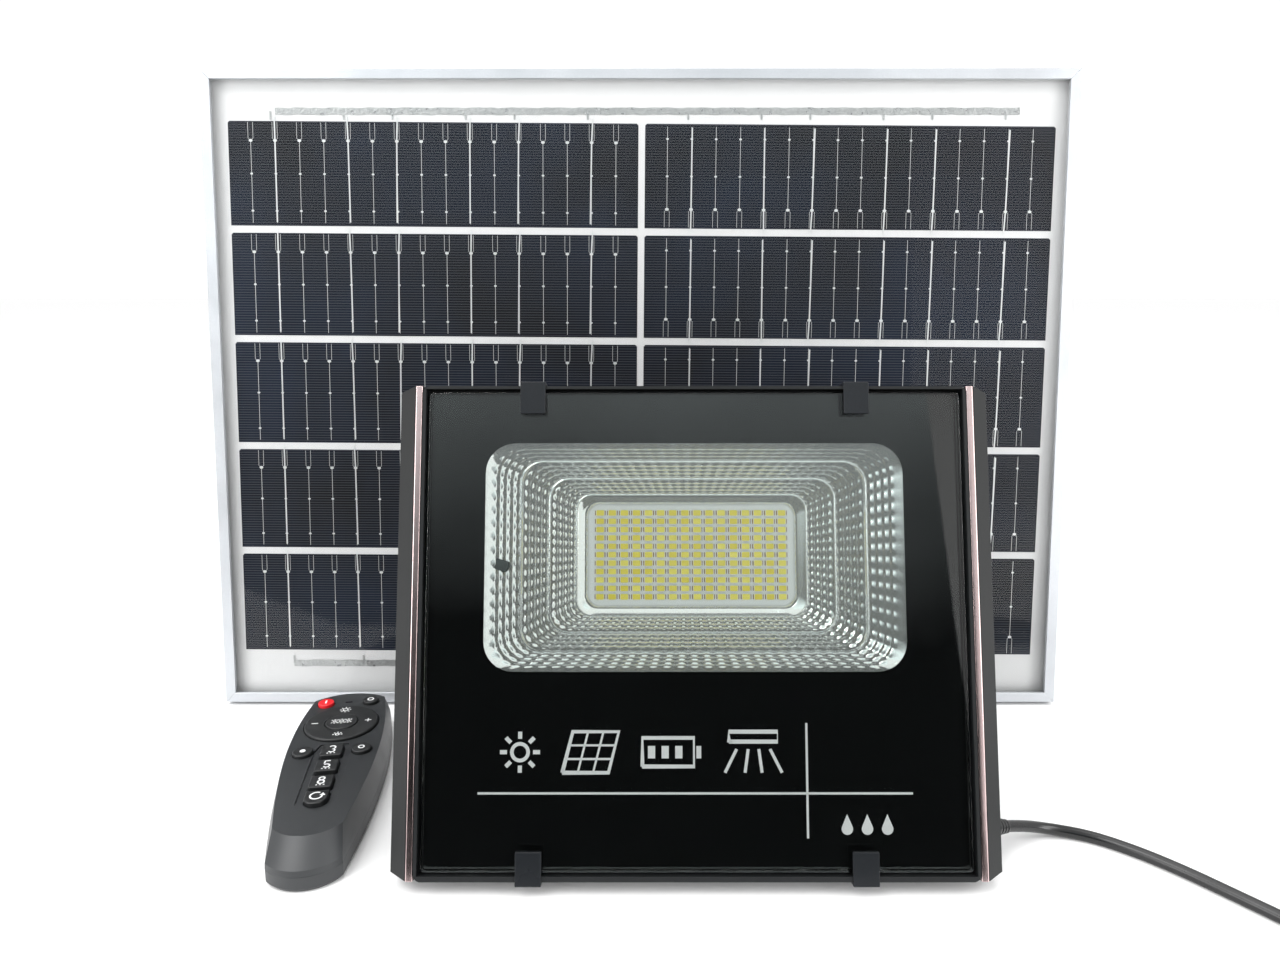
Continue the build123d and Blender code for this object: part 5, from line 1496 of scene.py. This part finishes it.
    def dress_shell(self) -> None:
        """Round and dress the housing, its rails, clips, bracket and back."""
        rows = (
            ("lamp_housing", HOUSING_PAINT, "lamp", 0.5, "housing_paint"),
            ("side_rails", RAIL_PLASTIC, "lamp", 0.7, "rail_plastic"),
            ("edge_trims", TRIM_METAL, "lamp", 0.15, "bright_trim"),
            ("glass_clips", CLIP_STEEL, "lamp", 0.25, "clip_steel"),
            ("rear_cover", HOUSING_PAINT, "lamp", 0.5, "housing_paint"),
            ("lamp_screws", ZINC_STEEL, "lamp", 0.15, "screw_steel"),
            ("breather_vent", RAIL_PLASTIC, "lamp", 0.2, "rail_plastic"),
            ("bracket_fasteners", STAINLESS, "lamp", 0.25, "stainless"),
            ("lamp_bracket", BRACKET_PAINT, "bracket", 0.4, "bracket_paint"),
            ("cable_gland", GLAND_NYLON, "lamp", 0.3, "gland_nylon"),
        )
        for row in rows:
            self.shop.soften(*row)

    def dress_inside(self) -> None:
        """Dress the pieces inside the housing."""
        for node, finish in (
            ("glass_gasket", GASKET_RUBBER),
            ("led_board", SOLDER_MASK_WHITE),
            ("controller_board", SOLDER_MASK_GREEN),
            ("battery_cells", CELL_SLEEVE),
            ("battery_holder", HOLDER_PLASTIC),
            ("rear_cover_seal", GASKET_RUBBER),
        ):
            self.shop.dress(node, finish)


# ---------------------------------------------------------------- panel
@dataclass
class Panel:
    """The framed solar panel and its stand, in millimetres in its own frame."""

    shop: Workshop
    lean: float = 5.5
    thickness: float = 17.0
    height: float = 285.0
    cell_width: float = 182.0
    cell_height: float = 45.5
    columns: int = 2
    rows: int = 5
    column_gap: float = 3.0
    row_gap: float = 3.2
    cell_turn: float = -0.4
    cell_front: float = 4.95
    cell_back: float = 5.15
    busbars: int = 16
    busbar_pitch: float = 10.81
    busbar_edge: float = 9.91
    tabbed: tuple[int, ...] = (2, 5, 7, 10, 12, 15)
    fork_length: float = 8.4
    fork_width: float = 2.2
    pads: tuple[float, ...] = (8.4, 22.8, 39.0)
    # each bus ribbon's height, left end and right end
    bus_spans: tuple[Point3, ...] = ((268.0, -161.5, 168.0), (17.0, -162.0, -6.0), (17.0, 6.0, 162.0))
    bus_width: float = 2.9
    bus_crinkle: float = 3.0
    lead_width: float = 0.75

    def stand(self) -> Stand:
        """Give the panel's place, from the box of its end bars."""
        low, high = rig.box("panel_end_bars")
        lean = math.radians(self.lean)
        base = low.z + self.thickness * MM * math.sin(lean)
        return Stand(Vector(((low.x + high.x) / 2, low.y, base)), lean)

    def cell_places(self) -> Iterable[tuple[float, float, int]]:
        """Give each cell's middle, and 1 where its forks are at the top or -1 at the bottom."""
        step_x, step_z = self.cell_width + self.column_gap, self.cell_height + self.row_gap
        for column in range(self.columns):
            for row in range(self.rows):
                x = (column - (self.columns - 1) / 2) * step_x
                z = (row - (self.rows - 1) / 2) * step_z
                yield x, z, 1 if column == 0 else -1

    def cell_matrix(self) -> Matrix:
        """Give the place of the turned cell array, on the panel's middle."""
        middle = Matrix.Translation(Vector((0.0, 0.0, self.height / 2)) * MM)
        return self.stand().matrix @ middle @ Matrix.Rotation(math.radians(-self.cell_turn), 4, "Y")

    def busbar_x(self, number: int) -> float:
        """Give a busbar's distance from its cell's middle."""
        return self.busbar_edge + self.busbar_pitch * number - self.cell_width / 2

    def build(self) -> None:
        """Make every piece of the panel."""
        self.make_cells()
        self.make_metallisation()
        self.make_tabs()
        self.make_bus_ribbons()
        self.dress_frame()
        self.dress_stand()

    def make_cells(self) -> None:
        """Make the quarter-cut cells, each with the small snipped corners of its ingot."""
        bm = bmesh.new()
        snip = 0.8
        half_w, half_h = self.cell_width / 2, self.cell_height / 2
        for x, z, _ in self.cell_places():
            outline = [
                (x - half_w, z - half_h),
                (x + half_w, z - half_h),
                (x + half_w, z + half_h - snip),
                (x + half_w - snip, z + half_h),
                (x - half_w + snip, z + half_h),
                (x - half_w, z + half_h - snip),
            ]
            slab(bm, outline, self.cell_front, self.cell_back, Facing.FRONT)
        self.shop.piece(
            "cell_wafers", bm, self.cell_matrix(), "panel", (SILICON,), "silicon", ("solar_cells",)
        )

    def make_metallisation(self) -> None:
        """Make each cell's printed silver: busbars, their forked ends and solder pads."""
        bar_width, bar_stop = 0.2, 1.2
        tine_width, tine_start, tine_bend = 0.16, 0.5, 0.9
        big_pad, small_pad, pad_squash, pad_rise = 0.85, 0.62, 0.75, 0.02
        bm = bmesh.new()
        paste, line = self.cell_front - 0.03, self.cell_front + 0.02
        for x, z, way in self.cell_places():
            start = z + way * self.cell_height / 2
            for number in range(self.busbars):
                bar_x = x + self.busbar_x(number)
                neck = start - way * self.fork_length
                end = start - way * (self.cell_height - bar_stop)
                stroke(bm, [(bar_x, neck), (bar_x, end)], bar_width, paste, line, Facing.FRONT)
                for side in (-1, 1):
                    tine = bar_x + side * self.fork_width / 2
                    top, bend = start - way * tine_start, neck + way * tine_bend
                    points = [(tine, top), (tine, bend), (bar_x, neck)]
                    stroke(bm, points, tine_width, paste, line, Facing.FRONT)
                for pad in self.pads:
                    radius = big_pad if pad == self.pads[0] else small_pad
                    outline = circle(radius, (bar_x, start - way * pad), 12, pad_squash)
                    slab(bm, outline, paste - pad_rise, line, Facing.FRONT, 1)
        finishes = (SILVER_PASTE, SOLDERED_RIBBON)
        self.shop.piece("cell_metallisation", bm, self.cell_matrix(), "panel", finishes, "solder_ribbon")

    def make_tabs(self) -> None:
        """Make the flat ribbons soldered along some of the busbars, each a little out of line."""
        width, over, stop, most_slant = 0.62, 2.0, 1.6, 0.5
        near, far = self.cell_front - 0.13, self.cell_front - 0.03
        bm = bmesh.new()
        for x, z, way in self.cell_places():
            start = z + way * self.cell_height / 2
            for number in self.tabbed:
                bar_x = x + self.busbar_x(number - 1)
                slant = most_slant * math.sin(number * 2.3 + x)
                line = [
                    (bar_x - slant, start + way * over),
                    (bar_x, start - way * self.fork_length),
                    (bar_x + slant, start - way * (self.cell_height - stop)),
                ]
                stroke(bm, line, width, near, far, Facing.FRONT)
        finishes, replaced = (SOLDERED_RIBBON,), ("cell_ribbons",)
        self.shop.piece(
            "cell_tabs", bm, self.cell_matrix(), "panel", finishes, "solder_ribbon", replaced, 0.03
        )

    def crinkle(self, step: int) -> float:
        """Give how far a bus ribbon is off its line at a step along it."""
        return 0.12 * math.sin(step * 2.4) + 0.1 * math.sin(step * 5.1)

    def make_bus_ribbons(self) -> None:
        """Make the crinkled bus ribbons along the top and bottom, and the leads that reach them."""
        bm = bmesh.new()
        near, far = self.cell_front - 0.12, self.cell_front
        half = self.bus_width / 2
        for height, left, right in self.bus_spans:
            count = round((right - left) / self.bus_crinkle)
            for step in range(count):
                ends = []
                for at in (step, step + 1):
                    ends.append((left + (right - left) * at / count, height + self.crinkle(at)))
                (x, here), (after, there) = ends
                outline = [(x, here - half), (after, there - half), (after, there + half), (x, here + half)]
                slab(bm, outline, near, far, Facing.FRONT)
        reach = self.rows * (self.cell_height + self.row_gap) / 2
        drift = math.tan(math.radians(self.cell_turn)) * -reach
        middle = self.height / 2
        bottom, top = self.bus_spans[1][0], self.bus_spans[0][0]
        for column in (-0.5, 0.5):
            for number in self.tabbed:
                x = column * (self.cell_width + self.column_gap) + self.busbar_x(number - 1)
                for edge, bus, skew in ((middle + reach, top, -drift), (middle - reach, bottom, drift)):
                    line = [(x + skew, edge), (x + skew, bus)]
                    stroke(bm, line, self.lead_width, near - 0.05, near, Facing.FRONT)
        finishes = (CRINKLED_RIBBON, SOLDERED_RIBBON)
        self.shop.piece(
            "bus_wiring", bm, self.stand().matrix, "panel", finishes, "solder_ribbon", ("bus_ribbons",)
        )

    def dress_frame(self) -> None:
        """Round and dress the frame, and dress the laminate."""
        for bars in ("panel_end_bars", "panel_side_bars"):
            self.shop.soften(bars, FRAME_ALUMINIUM, "panel", 0.3, "frame_aluminium")
        self.shop.dress("panel_corner_keys", FRAME_ALUMINIUM)
        self.shop.dress("panel_glass", SOLAR_GLASS)
        self.shop.dress("panel_backsheet", BACKSHEET)

    def dress_stand(self) -> None:
        """Round and dress what is on the panel's back."""
        rows = (
            ("junction_box", JUNCTION_PLASTIC, "panel", 0.4, "junction_plastic"),
            ("junction_box_lid", JUNCTION_PLASTIC, "panel", 0.3, "junction_plastic"),
            ("junction_gland", GLAND_NYLON, "panel", 0.2, "gland_nylon"),
            ("stand_rail", STAND_ANODISED, "panel", 0.4, "frame_aluminium"),
            ("rail_screws", ZINC_STEEL, "panel", 0.15, "screw_steel"),
            ("stand_bolt", STAINLESS, "panel", 0.25, "stainless"),
            ("stand_knob", JUNCTION_PLASTIC, "knob", 0.4, "junction_plastic"),
            ("stand_leg", STAND_ANODISED, "stand_leg", 0.4, "leg_paint"),
        )
        for row in rows:
            self.shop.soften(*row)


# ---------------------------------------------------------------- remote control
@dataclass
class Remote:
    """The remote control, in millimetres in its own frame."""

    shop: Workshop
    ring_y: float = 86.0
    cover_y: float = 45.0
    # heights of the keys, the ring and the shell's face, and the thickness of the print
    key_top: float = 16.3
    ring_top: float = 16.0
    face: float = 15.0
    ink: float = 0.07
    power_y: float = 104.6
    round_key: Point2 = (11.0, 63.5)
    power_x: float = 9.3
    timers: tuple[float, ...] = (63.0, 51.8, 40.6)
    auto_y: float = 30.2
    ring_mark: float = 10.6

    def joint_place(self, name: str) -> Vector:
        """Give a joint's place, from the record."""
        joints = frame["record"]["behaviour"]["joints"]
        return Vector(next(joint["pos_m"] for joint in joints if joint["name"] == name))

    def stand(self) -> Stand:
        """Give the remote's place, from the joints of its ring and its battery cover."""
        ring, cover = self.joint_place("ring_pitch"), self.joint_place("cell_cover_turn")
        way = Vector((ring.x - cover.x, ring.y - cover.y, 0.0)).normalized()
        origin = Vector((cover.x, cover.y, 0.0)) - way * self.cover_y * MM
        return Stand(origin, 0.0, math.atan2(-way.x, way.y))

    def build(self) -> None:
        """Make every piece of the remote."""
        shop = self.shop
        rows = (
            ("remote_top_shell", REMOTE_ABS, "remote", 0.35, "remote_abs", 28.0),
            ("remote_bottom_shell", REMOTE_ABS, "remote", 0.3, "remote_abs", 28.0),
            ("battery_cover", REMOTE_ABS, "cell_cover", 0.15, "remote_abs"),
            ("remote_ir_window", SMOKED_EPOXY, "remote", 0.2, "receiver_epoxy"),
        )
        for row in rows:
            shop.soften(*row)
        for body in frame["bodies"]:
            if body.endswith("_key"):
                finish = RED_RUBBER if body == "on_key" else KEY_RUBBER
                shop.soften(body, finish, body, 0.3, "key_rubber")
        shop.soften("navigation_ring", KEY_RUBBER, "ring", 0.3, "key_rubber")
        for node, finish in (
            ("ring_gimbal", KEY_RUBBER),
            ("rubber_keypad", KEY_RUBBER),
            ("remote_board", SOLDER_MASK_GREEN),
            ("coin_cell", STAINLESS),
        ):
            shop.dress(node, finish)
        self.make_slot()
        self.make_marks()

    def make_slot(self) -> None:
        """Make the small dark slot between the two power keys."""
        bm = bmesh.new()
        length, width, corner, ahead, depth, rise = 3.0, 0.9, 0.4, 1.0, 0.2, 0.02
        outline = rounded_rectangle(length, width, corner, (0.0, self.power_y + ahead), 4)
        slab(bm, outline, self.face - depth, self.face + rise, Facing.UP)
        self.shop.piece("remote_slot", bm, self.stand().matrix, "remote", (SMOKED_EPOXY,), "receiver_epoxy")

    def mark(self, body: str, draw: Callable[..., None], *sizes: Any) -> None:
        """Print a key's mark.

        Args:
            body: The key's body.
            draw: Draws the mark between two heights.
            sizes: What the drawing takes before its heights.
        """
        top = self.ring_top if body == "ring" else self.key_top
        bm = bmesh.new()
        draw(bm, *sizes, top - self.ink / 2, top + self.ink / 2)
        self.shop.piece(body + "_mark", bm, self.stand().matrix, body, (KEY_INK,), "key_rubber")

    def make_marks(self) -> None:
        """Print the marks of all the keys: power signs, suns, plus and minus, dots and digits."""
        (x, y), (power_x, power_y) = self.round_key, (self.power_x, self.power_y)
        line = [(-power_x, power_y - 1.4), (-power_x, power_y + 1.4)]
        self.mark("on_key", self.draw_line, line, 0.7)
        self.mark("off_key", self.draw_ring, (power_x, power_y), 1.4)
        self.mark("left_round_key", self.draw_dot, (-x, y), 1.1)
        self.mark("right_round_key", self.draw_ring, (x, y), 1.3)
        self.mark("centre_key", self.draw_lamp)
        self.mark("ring", self.draw_ring_marks)
        for name, digit, place in zip(("three", "five", "eight"), (3, 5, 8), self.timers):
            self.mark(name + "_hour_key", self.draw_digit, digit, place)
        self.mark("auto_key", self.draw_cycle)

    @staticmethod
    def draw_line(bm: BMesh, points: Outline, width: float, low: float, high: float) -> None:
        """Draw a stroke."""
        stroke(bm, points, width, low, high, Facing.UP)

    @staticmethod
    def draw_dot(bm: BMesh, mid: Point2, radius: float, low: float, high: float) -> None:
        """Draw a round dot."""
        slab(bm, circle(radius, mid), low, high, Facing.UP)

    @staticmethod
    def draw_ring(bm: BMesh, mid: Point2, radius: float, low: float, high: float) -> None:
        """Draw a small ring."""
        line = 0.5
        rim(bm, circle(radius, mid), circle(radius - line, mid), low, high, Facing.UP)

    @staticmethod
    def draw_sun(
        bm: BMesh, mid: Point2, radius: float, rays: Sequence[int], low: float, high: float
    ) -> None:
        """Draw a sun with rays at some of eight places."""
        line, ray_from, ray_to, ray_width = 0.4, 0.4, 1.1, 0.45
        rim(bm, circle(radius, mid), circle(radius - line, mid), low, high, Facing.UP)
        for ray in rays:
            angle = math.tau * ray / 8
            way = Vector((math.cos(angle), math.sin(angle)))
            ends = [tuple(Vector(mid) + way * (radius + reach)) for reach in (ray_from, ray_to)]
            stroke(bm, ends, ray_width, low, high, Facing.UP)

    def draw_ring_marks(self, bm: BMesh, low: float, high: float) -> None:
        """Draw a bright sun, a dim sun, a plus and a minus round the ring."""
        reach, mid, arm, line = self.ring_mark, self.ring_y, 1.3, 0.5
        self.draw_sun(bm, (0.0, mid + reach), 1.2, range(8), low, high)
        self.draw_sun(bm, (0.0, mid - reach), 0.9, range(5), low, high)
        for side in (-1, 1):
            x = side * reach
            stroke(bm, [(x - arm, mid), (x + arm, mid)], line, low, high, Facing.UP)
        stroke(bm, [(reach, mid - arm), (reach, mid + arm)], line, low, high, Facing.UP)

    def draw_lamp(self, bm: BMesh, low: float, high: float) -> None:
        """Draw a row of three small suns on the centre key."""
        spacing, middle_radius, side_radius = 2.7, 1.0, 0.75
        for side in (-1, 0, 1):
            radius = side_radius if side else middle_radius
            self.draw_sun(bm, (side * spacing, self.ring_y), radius, (1, 2, 3, 5, 6, 7), low, high)

    @staticmethod
    def draw_digit(bm: BMesh, digit: int, place: float, low: float, high: float) -> None:
        """Draw the digit 3, 5 or 8 over a row of three dots."""
        size, lift, line = 1.15, 0.4, 0.6
        dot_radius, dot_pitch, dot_drop = 0.32, 1.3, 2.7
        upper, lower = (0.0, place + lift + size), (0.0, place + lift - size)
        lines = {
            3: (arc(size, upper, 150, -90), arc(size, lower, 90, -150)),
            5: (
                [(1.0, upper[1] + size), (-0.9, upper[1] + size), (-1.0, upper[1] - 0.7)],
                arc(size, lower, 140, -150),
            ),
            8: (arc(size * 0.85, upper, 0, 360), arc(size, lower, 0, 360)),
        }[digit]
        for points in lines:
            stroke(bm, points, line, low, high, Facing.UP)
        for dot in (-1, 0, 1):
            slab(bm, circle(dot_radius, (dot * dot_pitch, place - dot_drop), 10), low, high, Facing.UP)

    def draw_cycle(self, bm: BMesh, low: float, high: float) -> None:
        """Draw an arrow that runs round, for the automatic cycle."""
        lift, radius, line, barb, tip = 0.6, 2.1, 0.6, 1.0, 1.7
        mid = (0.0, self.auto_y + lift)
        stroke(bm, arc(radius, mid, 60, 360, 20), line, low, high, Facing.UP)
        foot = mid[1] + 0.1
        head = [(radius - barb, foot), (radius + barb, foot), (radius, mid[1] + tip)]
        slab(bm, head, low, high, Facing.UP)


# ---------------------------------------------------------------- the whole kit
def write_sizes() -> None:
    """Write the CAD box and the visual model's box, in metres."""
    boxes = {
        "cad": [list(corner) for corner in CAD_BOX],
        "visual": [list(corner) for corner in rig.bounds()],
    }
    with open("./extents.json", "w") as out:
        json.dump(boxes, out, indent=1)


def main() -> None:
    """Build the studio, the lead and the three articles, and write their sizes."""
    logging.basicConfig(level=logging.INFO, format="%(name)s: %(message)s")
    shop = Workshop()
    Studio().build()
    for article in (Lead(shop), Lamp(shop), Panel(shop), Remote(shop)):
        article.build()
    write_sizes()
    log.info("made %d pieces", len(shop.made))


if __name__ == "__main__":
    main()
